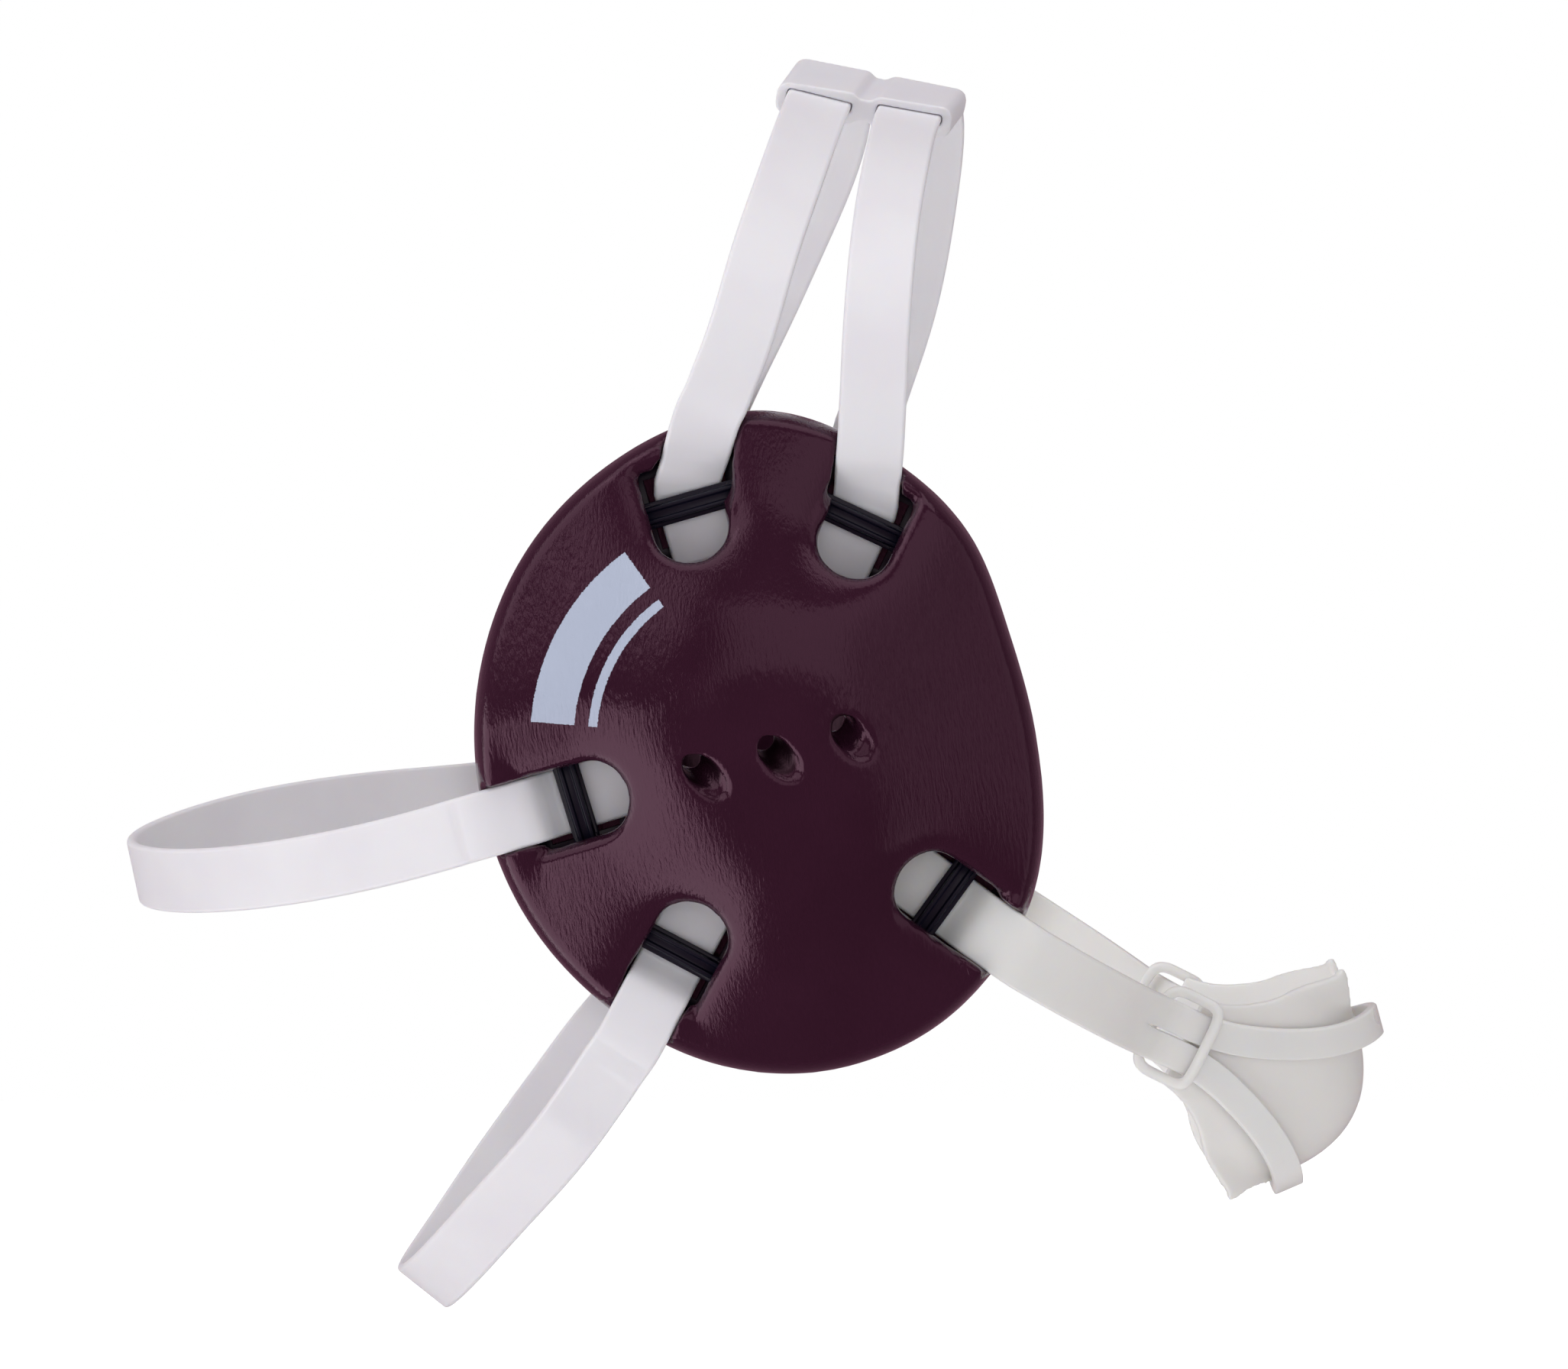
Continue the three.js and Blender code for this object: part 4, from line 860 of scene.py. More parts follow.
# %% Strap sweep tree
def strap_sweep_tree():
    tree = bpy.data.node_groups.new("strap_sweep", "GeometryNodeTree")
    face = tree.interface
    face.new_socket(name="Geometry", in_out="INPUT", socket_type="NodeSocketGeometry")
    for label, value in [("Width", STRAP_WIDTH), ("Thickness", STRAP_THICKNESS), ("Edge Radius", STRAP_EDGE)]:
        face.new_socket(name=label, in_out="INPUT", socket_type=FLOAT).default_value = value
    face.new_socket(name="Material", in_out="INPUT", socket_type="NodeSocketMaterial")
    face.new_socket(name="Geometry", in_out="OUTPUT", socket_type="NodeSocketGeometry")
    start = add_node(tree, "NodeGroupInput", (-900, 0))
    end = add_node(tree, "NodeGroupOutput", (900, 0))
    chain = add_node(tree, "GeometryNodeMeshToCurve", (-600, 0))
    facing = add_node(tree, "GeometryNodeInputNamedAttribute", (-600, -200), data_type="FLOAT_VECTOR")
    facing.inputs["Name"].default_value = "outward"
    normals = add_node(tree, "GeometryNodeSetCurveNormal", (-300, 0), mode="FREE")
    section = add_node(tree, "GeometryNodeCurvePrimitiveQuadrilateral", (-600, -400), mode="RECTANGLE")
    rounded = add_node(tree, "GeometryNodeFilletCurve", (-300, -400), mode="POLY")
    rounded.inputs["Count"].default_value = 4
    sweep = add_node(tree, "GeometryNodeCurveToMesh", (0, 0))
    sweep.inputs["Fill Caps"].default_value = True
    real = add_node(tree, "GeometryNodeRealizeInstances", (200, 0))
    smooth = add_node(tree, "GeometryNodeSetShadeSmooth", (400, 0))
    dress = add_node(tree, "GeometryNodeSetMaterial", (600, 0))
    join(tree, start.outputs["Geometry"], chain.inputs["Mesh"])
    join(tree, chain.outputs[0], normals.inputs["Curve"])
    join(tree, facing.outputs["Attribute"], normals.inputs["Normal"])
    join(tree, start.outputs["Thickness"], section.inputs["Width"])
    join(tree, start.outputs["Width"], section.inputs["Height"])
    join(tree, section.outputs[0], rounded.inputs["Curve"])
    join(tree, start.outputs["Edge Radius"], rounded.inputs["Radius"])
    join(tree, normals.outputs[0], sweep.inputs["Curve"])
    join(tree, rounded.outputs[0], sweep.inputs["Profile Curve"])
    join(tree, sweep.outputs[0], real.inputs[0])
    join(tree, real.outputs[0], smooth.inputs[0])
    join(tree, smooth.outputs[0], dress.inputs["Geometry"])
    join(tree, start.outputs["Material"], dress.inputs["Material"])
    join(tree, dress.outputs[0], end.inputs[0])
    return tree


STRAP_SWEEP = strap_sweep_tree()


def set_modifier(modifier, **values):
    """Sets a node modifier's inputs by the names of their sockets."""
    for entry in modifier.node_group.interface.items_tree:
        key = entry.name.replace(" ", "_")
        if entry.item_type == "SOCKET" and entry.in_out == "INPUT" and key in values:
            modifier[entry.identifier] = values[key]


def sweep_strap(name, path, material):
    """A strap swept along its stations."""
    mesh = bpy.data.meshes.new(name)
    points = path["middle"] + np.array(EAR_AXIS)
    mesh.from_pydata(points.tolist(), [(row, row + 1) for row in range(len(points) - 1)], [])
    outward = mesh.attributes.new("outward", "FLOAT_VECTOR", "POINT")
    outward.data.foreach_set("vector", path["outward"].astype(np.float32).ravel())
    strap = bpy.data.objects.new(name, mesh)
    bpy.context.collection.objects.link(strap)
    sweep = strap.modifiers.new("sweep", "NODES")
    sweep.node_group = STRAP_SWEEP
    set_modifier(sweep, Width=STRAP_WIDTH, Thickness=STRAP_THICKNESS, Edge_Radius=STRAP_EDGE,
                 Material=material)
    settle(strap)
    return face_outwards(strap)


for name, path in STRAP_PATHS.items():
    strap = sweep_strap(name, path, white_vinyl)
    finish_piece(strap, name, white_vinyl)
    weigh_normals(strap)

# %% [markdown]
# The chin cup is a thin moulded bowl, and the split strap runs over it, so both follow one
# surface. Its section across is a parabola: deep at the chin, running out flat to a loop at each
# side. A table gives how far its edge reaches. Near the two tips the edge flares out.

# %% Chin surface
CHIN_DROP, CHIN_TILT, CHIN_HALF_WIDTH = 0.0732, 26.4, 0.036
CHIN_DEPTH, CHIN_SETBACK, CHIN_HEIGHT = 0.040, 0.024, 0.040
CHIN_WALL, CHIN_FLARE, CHIN_BOWL_FALL = 0.0018, 0.009, 0.27
CHIN_LOOP_PLACE, CHIN_TAB_REACH = 0.97, 1.07
CHIN_OUT, CHIN_RISE = heading(-CHIN_TILT), heading(90 - CHIN_TILT)

# Columns: side, reach up and reach down as shares of the height
CHIN_EDGE = np.array([
    (-0.2, 0.47, 0.49), (0, 0.46, 0.48), (0.2, 0.48, 0.5), (0.36, 0.56, 0.545),
    (0.42, 0.605, 0.585), (0.46, 0.665, 0.65), (0.5, 0.62, 0.625), (0.58, 0.55, 0.58),
    (0.7, 0.45, 0.5), (0.82, 0.34, 0.38), (0.93, 0.25, 0.28), (1.07, 0.2, 0.22)])


def chin_surface(side, rise):
    """Points of the chin cup's outer face. Side goes from one loop, -1, to the other, 1."""
    side, rise = np.broadcast_arrays(np.asarray(side, float), np.asarray(rise, float))
    front = 1 - side ** 2
    share = rise / (CHIN_HEIGHT / 2)
    flare = CHIN_FLARE * smoothstep(np.abs(share), 0.85, 1.35) * np.maximum(front, 0)
    depth = CHIN_DEPTH * front * (1 - CHIN_BOWL_FALL * share ** 2) - CHIN_SETBACK + flare
    middle = np.stack([np.full(side.shape, CHIN_FORWARD), CHIN_HALF_WIDTH * side,
                       np.full(side.shape, -CHIN_DROP)], -1)
    return middle + depth[..., None] * CHIN_OUT + rise[..., None] * CHIN_RISE


def chin_point(side, rise, lift):
    """A point that stands off the chin cup's outer face."""
    side_step, rise_step = 0.01, 0.0005
    along_side = chin_surface(side + side_step, rise) - chin_surface(side - side_step, rise)
    along_rise = chin_surface(side, rise + rise_step) - chin_surface(side, rise - rise_step)
    return chin_surface(side, rise) + unit(np.cross(along_side, along_rise)) * np.asarray(lift)[..., None]


def chin_edge(side, column):
    """Reach of the edge up, column 1, or down, column 2, on a smooth curve through the table."""
    size = np.clip(np.abs(side), 0, CHIN_TAB_REACH)
    table = CHIN_EDGE
    slopes = np.gradient(table[:, column], table[:, 0])
    row = int(np.clip(np.searchsorted(table[:, 0], size, side="right") - 1, 0, len(table) - 2))
    span = table[row + 1, 0] - table[row, 0]
    share = (size - table[row, 0]) / span
    square, cube = share ** 2, share ** 3
    reach = (table[row, column] * (2 * cube - 3 * square + 1)
             + slopes[row] * span * (cube - 2 * square + share)
             + table[row + 1, column] * (3 * square - 2 * cube)
             + slopes[row + 1] * span * (cube - square))
    return reach * CHIN_HEIGHT


print("chin cup reaches", round(1000 * float(chin_surface(0, 0)[0])), "mm ahead of the ear axis")

# %% [markdown]
# The chin strap is one band on each side that is slit lengthwise. One half goes over the chin
# cup and the other under it. Each half is a chain of rings with rounded outer edges. Before the
# slit both halves share their middle points, so they are one band; from its start each ring has
# a wall of its own along the slit, and the gap grows from nothing.

# %% Chin strap
BAND_HALF_SPREAD, SLIT_GAP, SLIT_START, SLIT_GROW = 0.017, 0.0005, 0.0165, 0.012
BAND_STAND_OFF = CLEARANCE + STRAP_THICKNESS / 2
BAND_LIFTS = {1: 0.0026, -1: 0.0012}
EDGE_ROUND, SLIT_ROUND = 0.0006, 0.0003


def band_path(half, steps=24):
    """Stations of one half of the split strap: 1 goes over the cup and -1 under it."""
    closed = (STRAP_WIDTH + SLIT_GAP) / 4
    stations = []
    for side in np.linspace(-CHIN_TAB_REACH, CHIN_TAB_REACH, steps + 1):
        lift = BAND_STAND_OFF + BAND_LIFTS[half] * smoothstep(1 - abs(side), 0.1, 1)
        front = max(1 - (side / CHIN_LOOP_PLACE) ** 2, 0)
        rise = half * (closed + (BAND_HALF_SPREAD - closed) * front ** 1.4)
        middle = chin_point(side, rise, lift)
        across = chin_point(side, rise - 0.001, lift) - chin_point(side, rise + 0.001, lift)
        stations.append((middle, unit(across) * (STRAP_WIDTH - SLIT_GAP) / 4))
    return smooth_stations(stations)


def half_section(width, opened):
    """Corners of half a strap, from its inner edge out and back: across and out. Opened is how
    far the inner edge is rounded, 0 to 1."""
    inner = SLIT_ROUND * (1 - np.cos(np.linspace(0, math.pi / 2, 4)))
    drop = opened * SLIT_ROUND * (1 - np.sin(np.linspace(0, math.pi / 2, 4)))
    turns = np.linspace(math.pi / 2, 0, 5)
    outer_x = width - EDGE_ROUND + EDGE_ROUND * np.cos(turns)
    outer_z = STRAP_THICKNESS / 2 - EDGE_ROUND + EDGE_ROUND * np.sin(turns)
    across = np.concatenate([inner, [width / 2], outer_x])
    out = np.concatenate([STRAP_THICKNESS / 2 - drop, [STRAP_THICKNESS / 2], outer_z])
    return np.concatenate([across, across[::-1]]), np.concatenate([out, -out[::-1]])


def half_ring(path, row, half, gap, opened):
    """Points of one half of a strap at a station of the whole strap's path."""
    across, out = half_section((STRAP_WIDTH - gap) / 2, opened)
    away = path["width"][row] * -half
    return path["middle"][row] + (across + gap / 2)[:, None] * away + out[:, None] * path["outward"][row]


def band_ring(path, row, half):
    """Points of one half where it runs alone."""
    width = (STRAP_WIDTH - SLIT_GAP) / 2
    across, out = half_section(width, 1)
    away = path["width"][row] * -half
    return path["middle"][row] + (across - width / 2)[:, None] * away + out[:, None] * path["outward"][row]


def soften_joint(path, bands, end, reach=9, spread=3):
    """Evens the strap and the first rows of its bands out where they meet."""
    rows = np.arange(reach) if end == 0 else -1 - np.arange(reach)
    before = len(path["middle"]) - 1
    offsets = np.arange(before + reach) - before
    weight = smoothstep(reach - np.abs(offsets), 0, reach - 2)
    for key in ("middle", "width", "outward"):
        centre = np.mean([np.asarray(bands[half][key])[rows] for half in (1, -1)], axis=0)
        chain = np.vstack([path[key][:-1], centre])
        shift = even_out(chain, weight, spread) - chain
        path[key][:-1] += shift[:before]
        for half in (1, -1):
            bands[half][key][rows] += shift[before:]


def chin_strap_mesh():
    """Points and faces of the strap, and each side's path from its slot to the bands."""
    bands = {half: band_path(half) for half in (1, -1)}
    points, faces, paths, runs = [], [], {}, {}

    def add_ring(ring):
        points.extend(ring)
        return list(range(len(points) - len(ring), len(points)))

    def join_rings(first, second, walled):
        for place in range(len(first) - (0 if walled else 1)):
            after = (place + 1) % len(first)
            faces.append((first[place], first[after], second[after], second[place]))

    for side, end in ((-1, 0), (1, -1)):
        middle = (bands[1]["middle"][end] + bands[-1]["middle"][end]) / 2
        across = unit(bands[-1]["middle"][end] - bands[1]["middle"][end]) * STRAP_WIDTH / 2
        rows = run_stations(CHIN_RUN, CHIN_FORWARD, mirror=-side)
        slot_rows = slot_stations("chin", side)
        loose = len(slot_rows) - 1, len(slot_rows) + len(rows)
        path = smooth_stations([*slot_rows, *rows, (middle, across)], loose=loose)
        if side > 0:
            path["outward"] = -path["outward"]
        soften_joint(path, bands, end)
        paths[side] = path
        steps = np.linalg.norm(np.diff(path["middle"], axis=0), axis=1)
        to_end = np.append(np.cumsum(steps[::-1])[::-1], 0)
        count = len(to_end) - 1
        slit = next(row for row in range(count) if to_end[row] < SLIT_START)
        runs[side] = {1: [], -1: []}
        for row in range(count):
            opened = float(smoothstep(SLIT_START - to_end[row], 0, SLIT_GROW)) if row > slit else 0.0
            gap = SLIT_GAP * (0.12 + 0.88 * opened) if row > slit else 0.0
            upper = add_ring(half_ring(path, row, 1, gap, opened))
            if row > slit:
                lower = add_ring(half_ring(path, row, -1, gap, opened))
            else:
                inside = add_ring(half_ring(path, row, -1, gap, opened)[1:-1])
                lower = [upper[0], *inside, upper[-1]]
            runs[side][1].append(upper)
            runs[side][-1].append(lower)
        for half in (1, -1):
            rings = runs[side][half]
            for row in range(count - 1):
                join_rings(rings[row], rings[row + 1], row >= slit)
            faces.append(tuple(rings[0]))
    for half in (1, -1):
        band = bands[half]
        chain = [runs[-1][half][-1]]
        chain += [add_ring(band_ring(band, row, half)) for row in range(len(band["half"]))]
        chain.append(runs[1][half][-1])
        for first, second in zip(chain, chain[1:]):
            join_rings(first, second, True)
    return points, faces, paths


points, faces, CHIN_PATHS = chin_strap_mesh()
chin_strap = face_outwards(make_object("chin_strap_split", points, faces))
finish_piece(chin_strap, "chin_strap", warm_white_vinyl)
weigh_normals(chin_strap)

# %% [markdown]
# The bowl is an outer and an inner sheet of the chin surface, joined round the edge. At each
# side a wire ring lies aslant: its front bar crosses over the strap and its rear bar passes
# behind it. It is all one soft casting, so the parts are joined, skinned evenly and relaxed,
# which rounds the edges as a mould does.

# %% Chin cup
CHIN_LOOP_WIRE, CHIN_LOOP_ROUNDNESS, CHIN_LOOP_SLANT = 0.0012, 0.4, 0.0062
COARSE = 1.0


def chin_bowl(columns=160, rows=60):
    """The bowl as rings, one at each side place, round its outer and inner faces."""
    rings = []
    for side in np.linspace(-CHIN_LOOP_PLACE - 0.03, CHIN_LOOP_PLACE + 0.03, columns):
        rises = np.linspace(-chin_edge(side, 2), chin_edge(side, 1), rows)
        outer = chin_point(np.full(rows, side), rises, np.zeros(rows))
        inner = chin_point(np.full(rows, side), rises, np.full(rows, -CHIN_WALL))
        rings.append(np.vstack([outer, inner[::-1]]))
    return face_outwards(make_object("chin_bowl", *skin_rings(rings)))


def chin_loop(side, places=72, corners=16):
    """A wire ring at one side of the bowl, with its rear bar behind the strap."""
    path = CHIN_PATHS[side]
    front = chin_point(side * CHIN_LOOP_PLACE, 0.0, BAND_STAND_OFF)
    front_out = unit(chin_point(side * CHIN_LOOP_PLACE, 0.0, BAND_STAND_OFF + 0.001) - front)
    front_rise = unit(chin_point(side * CHIN_LOOP_PLACE, 0.001, BAND_STAND_OFF) - front)
    rear_row = int(np.argmin(np.abs(np.linalg.norm(path["middle"] - front, axis=1) - CHIN_LOOP_SLANT)))
    rear, rear_out = path["middle"][rear_row], path["outward"][rear_row]
    rear_rise = -path["width"][rear_row]
    if rear_out @ front_out < 0:
        rear_out = -rear_out
    reach_rise = (STRAP_WIDTH + SLIT_GAP) / 2 + CLEARANCE * 2 + CHIN_LOOP_WIRE
    reach_out = STRAP_THICKNESS / 2 + CLEARANCE + CHIN_LOOP_WIRE
    middles, spokes = [], []
    for angle in np.linspace(0, 2 * math.pi, places, endpoint=False):
        rise_part, out_part = (math.copysign(abs(part) ** CHIN_LOOP_ROUNDNESS, part)
                               for part in (math.cos(angle), math.sin(angle)))
        back = (1 - out_part) / 2
        centre, rise, outward = (start * (1 - back) + end * back for start, end in
                                 ((front, rear), (front_rise, rear_rise), (front_out, rear_out)))
        middles.append(centre + unit(rise) * reach_rise * rise_part + unit(outward) * reach_out * out_part)
        spokes.append(unit(rise) * math.cos(angle) + unit(outward) * math.sin(angle))
    rings = []
    for place, (middle, spoke) in enumerate(zip(middles, spokes)):
        travel = unit(middles[(place + 1) % places] - middles[place - 1])
        spoke = unit(spoke - travel * (spoke @ travel))
        beside = np.cross(travel, spoke)
        turns = np.linspace(0, 2 * math.pi, corners, endpoint=False)[:, None]
        rings.append(middle + CHIN_LOOP_WIRE * (spoke * np.cos(turns) + beside * np.sin(turns)))
    return face_outwards(make_object("chin_loop", *skin_rings(rings, closed=True)))


chin_cup = chin_bowl()
cut_or_join(chin_cup, [chin_loop(-1), chin_loop(1)], "UNION")
remesh(chin_cup, 0.00042 * COARSE)
relax(chin_cup.data, 5)
chin_cup.name = "chin_cup_moulding"
finish_piece(chin_cup, "chin_cup", warm_white_vinyl)

# %% [markdown]
# The anchors sit in the slots. Each is a flat black frame with a raised bar across it, and the
# strap's end goes under the bar. All ten are alike, so one function builds the frame from blocks
# and a matrix puts each in its slot.

# %% Anchors
def block(low, high):
    """A box between two corners, before it is put in its place."""
    corners = [(x, y, z) for x in (low[0], high[0]) for y in (low[1], high[1]) for z in (low[2], high[2])]
    quads = [(0, 1, 3, 2), (4, 6, 7, 5), (0, 4, 5, 1), (2, 3, 7, 6), (0, 2, 6, 4), (1, 5, 7, 3)]
    return face_outwards(make_object("block", np.array(corners) - np.array(EAR_AXIS), quads))


def prism(outline, depth_axis, low, high):
    """A prism over an outline; depth_axis says which way its length goes."""
    rings = []
    for depth in (low, high):
        if depth_axis == "y":
            rings.append(np.array([(x, depth, z) for x, z in outline]))
        else:
            rings.append(np.array([(x, y, depth) for x, y in outline]))
    points, faces = skin_rings(rings)
    return face_outwards(make_object("prism", np.array(points) - np.array(EAR_AXIS), faces))


def slot_matrix(slot, side):
    """From a slot's own axes, x out of it and z out of the face, to the model's."""
    outboard = heading(SLOTS[slot][2])
    outward = np.array([0.0, side, 0.0])
    along = np.cross(outward, outboard)
    place = slot_bar(slot) + np.array([0.0, side * PAD_FACE, 0.0]) + np.array(EAR_AXIS)
    rows = [[outboard[row], along[row], outward[row], place[row]] for row in range(3)]
    return Matrix([*rows, [0, 0, 0, 1]])


def anchor_shape():
    """One anchor in the slot's own axes."""
    out_end, in_end = SLOT_OUTBOARD - CLEARANCE, CLEARANCE - TAIL_LENGTH
    half_width, half_bar = ANCHOR_WIDTH / 2, ANCHOR_BAR_WIDTH / 2
    top = PLATE_BASE + ANCHOR_PLATE
    frame_plate = block((in_end, -half_width, PLATE_BASE), (out_end, half_width, top))
    window = block((in_end + ANCHOR_END_BAR, ANCHOR_RAIL - half_width, PLATE_BASE - 0.001),
                   (out_end - ANCHOR_END_BAR, half_width - ANCHOR_RAIL, top + 0.001))
    cut_or_join(frame_plate, [window], "DIFFERENCE")
    post_top = BAR_BASE + ANCHOR_BAR_HEIGHT * 0.6
    posts = [block((-half_bar, low, PLATE_BASE + 0.0002), (half_bar, low + ANCHOR_RAIL, post_top))
             for low in (-half_width, half_width - ANCHOR_RAIL)]
    half_ridge = [(1.22, 0), (1.22, 0.45), (0.85, 0.5), (0.72, 1.0), (0.42, 1.0), (0.3, 0.72)]
    ridge = [(share * half_bar, BAR_BASE + rise * ANCHOR_BAR_HEIGHT) for share, rise in half_ridge]
    ridge += [(-x, z) for x, z in ridge[::-1]]
    bar = prism(ridge, "y", -half_width, half_width)
    cut_or_join(frame_plate, [*posts, bar], "UNION")
    edge = frame_plate.modifiers.new("edge", "BEVEL")
    edge.width, edge.segments, edge.limit_method = 0.00022, 2, "ANGLE"
    edge.angle_limit = math.radians(25)
    return settle(frame_plate)


anchor_master = anchor_shape()
for side_name, side in SIDES.items():
    for slot in SLOTS:
        anchor = anchor_master.copy()
        anchor.data = anchor_master.data.copy()
        anchor.name = f"{side_name}_anchor_{slot}_frame"
        bpy.context.collection.objects.link(anchor)
        anchor.data.transform(slot_matrix(slot, side))
        face_outwards(anchor)
        finish_piece(anchor, f"{side_name}_anchor_{slot}", black_plastic)
bpy.data.objects.remove(anchor_master)

# %% [markdown]
# The slider is a moulded block with two sleeves, one for each crown strap, and a grooved waist
# between them. Its outline is drawn with round corners and pushed along the straps, and the
# straps' own paths, a little wider, cut the sleeves. Then the same even skin and relaxing as on
# the chin cup give it the rounded edges of a soft moulding.

# %% Slider
SLIDER_LENGTH, SLIDER_DEPTH, SLIDER_HEIGHT = 0.0356, 0.022, 0.0066
SLIDER_OFFSET, SLIDER_GROOVE, SLIDER_WAIST, SLIDER_CORNER = -0.009, 0.0011, 0.0032, 0.0024
SLEEVE_GAP, SLIDER_LIFT = 0.00012, 0.0005


def ribbon_tool(path, rows, extra_width, under, over):
    """A flat band along some of a path's stations, used to cut."""
    rings = []
    for row in rows:
        middle, width, outward = (path[key][row] for key in ("middle", "width", "outward"))
        half = path["half"][row] + extra_width
        rings.append([middle + width * across + outward * out for across, out in
                      ((half, over), (half, -under), (-half, -under), (-half, over))])
    return face_outwards(make_object("ribbon_tool", *skin_rings(rings)))


def nearest_row(path, across):
    return int(np.argmin(np.abs(path["middle"][:, 1] - across)))


def slider_outline():
    """Outline of the slider seen along the straps, with round corners and grooved waist."""
    half, rise = SLIDER_LENGTH / 2, SLIDER_HEIGHT / 2
    corner, waist, groove = SLIDER_CORNER, SLIDER_WAIST / 2, SLIDER_GROOVE
    quarter = []
    for angle in np.linspace(0, math.pi / 2, 12):
        quarter.append((half - corner + corner * math.cos(angle), rise - corner + corner * math.sin(angle)))
    for place in np.linspace(0, 1, 9):
        x = waist + groove * 1.2 - place * groove * 2.0
        quarter.append((x, rise - groove * float(smoothstep(place, 0, 1))))
    upper = quarter + [(-x, y) for x, y in quarter[::-1]]
    return upper + [(-x, -y) for x, y in upper]


def slider_block():
    """The slider before its sleeves are cut: straight, between two places of the straps."""
    rear, front = STRAP_PATHS["crown_strap_rear"], STRAP_PATHS["crown_strap_front"]
    ends = []
    for across in (SLIDER_OFFSET - SLIDER_DEPTH / 2, SLIDER_OFFSET + SLIDER_DEPTH / 2):
        rows = nearest_row(rear, across), nearest_row(front, across)
        ends.append((rear["middle"][rows[0]], front["middle"][rows[1]]))
    travel = unit(sum(ends[1]) - sum(ends[0]))
    rings = []
    for share in np.linspace(0, 1, 12):
        rear_point, front_point = (ends[0][which] * (1 - share) + ends[1][which] * share for which in (0, 1))
        along = unit(front_point - rear_point)
        outward = unit(np.cross(travel, along))
        middle = (rear_point + front_point) / 2 + outward * SLIDER_LIFT
        rings.append([middle + along * x + outward * y for x, y in slider_outline()])
    return face_outwards(make_object("crown_slider_moulding", *skin_rings(rings)))


crown_slider = slider_block()
sleeves = []
for name in ("crown_strap_rear", "crown_strap_front"):
    path = STRAP_PATHS[name]
    rows = [row for row, point in enumerate(path["middle"]) if point[2] > CROWN_HEIGHT * 0.85]
    reach = STRAP_THICKNESS / 2 + SLEEVE_GAP
    sleeves.append(ribbon_tool(path, rows, SLEEVE_GAP, reach, reach))
cut_or_join(crown_slider, sleeves, "DIFFERENCE")
remesh(crown_slider, 0.00028 * COARSE)
relax(crown_slider.data, 7)
finish_piece(crown_slider, "crown_slider", white_vinyl)

# %% [markdown]
# The cups are the main form. A cup is a foam pad under a skin that has five flat petals falling
# from a flat crown, so its outer face is a height over the pad: the lowest of five sloping planes,
# blended softly, with a dip round every slot. The blank is closed by a round rim, the pad's face
# and the ear cavity. Slots, anchor pockets, strap channels and vents are cut out. Then the solid
# is skinned evenly and relaxed near the cuts, where dipped vinyl gathers in soft round lips.


# %% Cup face
def slot_distance(slot, forward, height, width=SLOT_WIDTH, inboard=SLOT_INBOARD, outboard=SLOT_OUTBOARD):
    """Distance outside a slot's edge in the side view, negative inside it."""
    bar, angle = slot_bar(slot), SLOTS[slot][2]
    way, beside = heading(angle), heading(angle + 90)
    along = (forward - bar[0]) * way[0] + (height - bar[2]) * way[2]
    across = np.abs((forward - bar[0]) * beside[0] + (height - bar[2]) * beside[2])
    round_end = np.hypot(width / 2 - inboard - along, across) - width / 2
    past = np.hypot(np.maximum(along - outboard, 0), np.maximum(across - width / 2, 0))
    straight = np.where(past > 0, past, np.maximum(across - width / 2, along - outboard))
    return np.where(along < width / 2 - inboard, round_end, straight)


def face_height(forward, height):
    """Height of the outer face over the pad's face, without its rim."""
    total = np.exp(np.full(np.shape(forward), -CUP_DEPTH / CREASE_SOFTNESS))
    for angle, start, slope in PETALS:
        along = forward * heading(angle)[0] + height * heading(angle)[2]
        total = total + np.exp(-(CUP_DEPTH - slope * (along - start * MEAN_HALF)) / CREASE_SOFTNESS)
    face = -CREASE_SOFTNESS * np.log(total)
    for slot in SLOTS:
        face = face - SLOT_DIP * np.exp(-np.maximum(slot_distance(slot, forward, height), 0) / SLOT_DIP_REACH)
    return face


def lip_fall(distance, radius):
    """How far a soft lip has turned down at a distance outside its hole."""
    short = np.clip(radius - distance, 0, radius)
    return radius - np.sqrt(radius ** 2 - short ** 2)


def slot_lean(slot):
    """How a slot leans outwards, per metre of height."""
    bar = slot_bar(slot)
    return bar / np.linalg.norm(bar) * SLOT_SLANT


def slot_shift(slot):
    """How far a slot's mouth lies to one side of its anchor."""
    return heading(SLOTS[slot][2] + 90) * SLOTS[slot][4]


def vent_distance(spot, forward, height):
    """Distance outside the oval mouth of a vent, roughly."""
    way, beside = heading(VENT_LEAN), heading(VENT_LEAN + 90)
    along = (forward - spot[0]) * way[0] + (height - spot[2]) * way[2]
    across = (forward - spot[0]) * beside[0] + (height - spot[2]) * beside[2]
    long_half = VENT_RADIUS / math.cos(math.radians(VENT_TILT))
    size = np.hypot(along / long_half, across / VENT_RADIUS)
    return (size - 1) * np.hypot(along, across) / np.maximum(size, 1e-6)


def lipped_height(forward, height):
    """Height of the face with a soft lip round every slot and vent."""
    face = face_height(forward, height)
    fall = np.zeros(np.shape(face))
    for slot in SLOTS:
        risen = np.maximum(face - POCKET_ROOF, 0)
        lean, shift = slot_lean(slot), slot_shift(slot)
        distance = slot_distance(slot, forward - lean[0] * risen - shift[0],
                                 height - lean[2] * risen - shift[2],
                                 MOUTH_WIDTH, MOUTH_INBOARD, MOUTH_OUTBOARD)
        fall = np.maximum(fall, lip_fall(distance, LIP_ROUND))
    for spot in vent_spots():
        fall = np.maximum(fall, lip_fall(vent_distance(spot, forward, height), VENT_LIP_ROUND))
    return face - fall


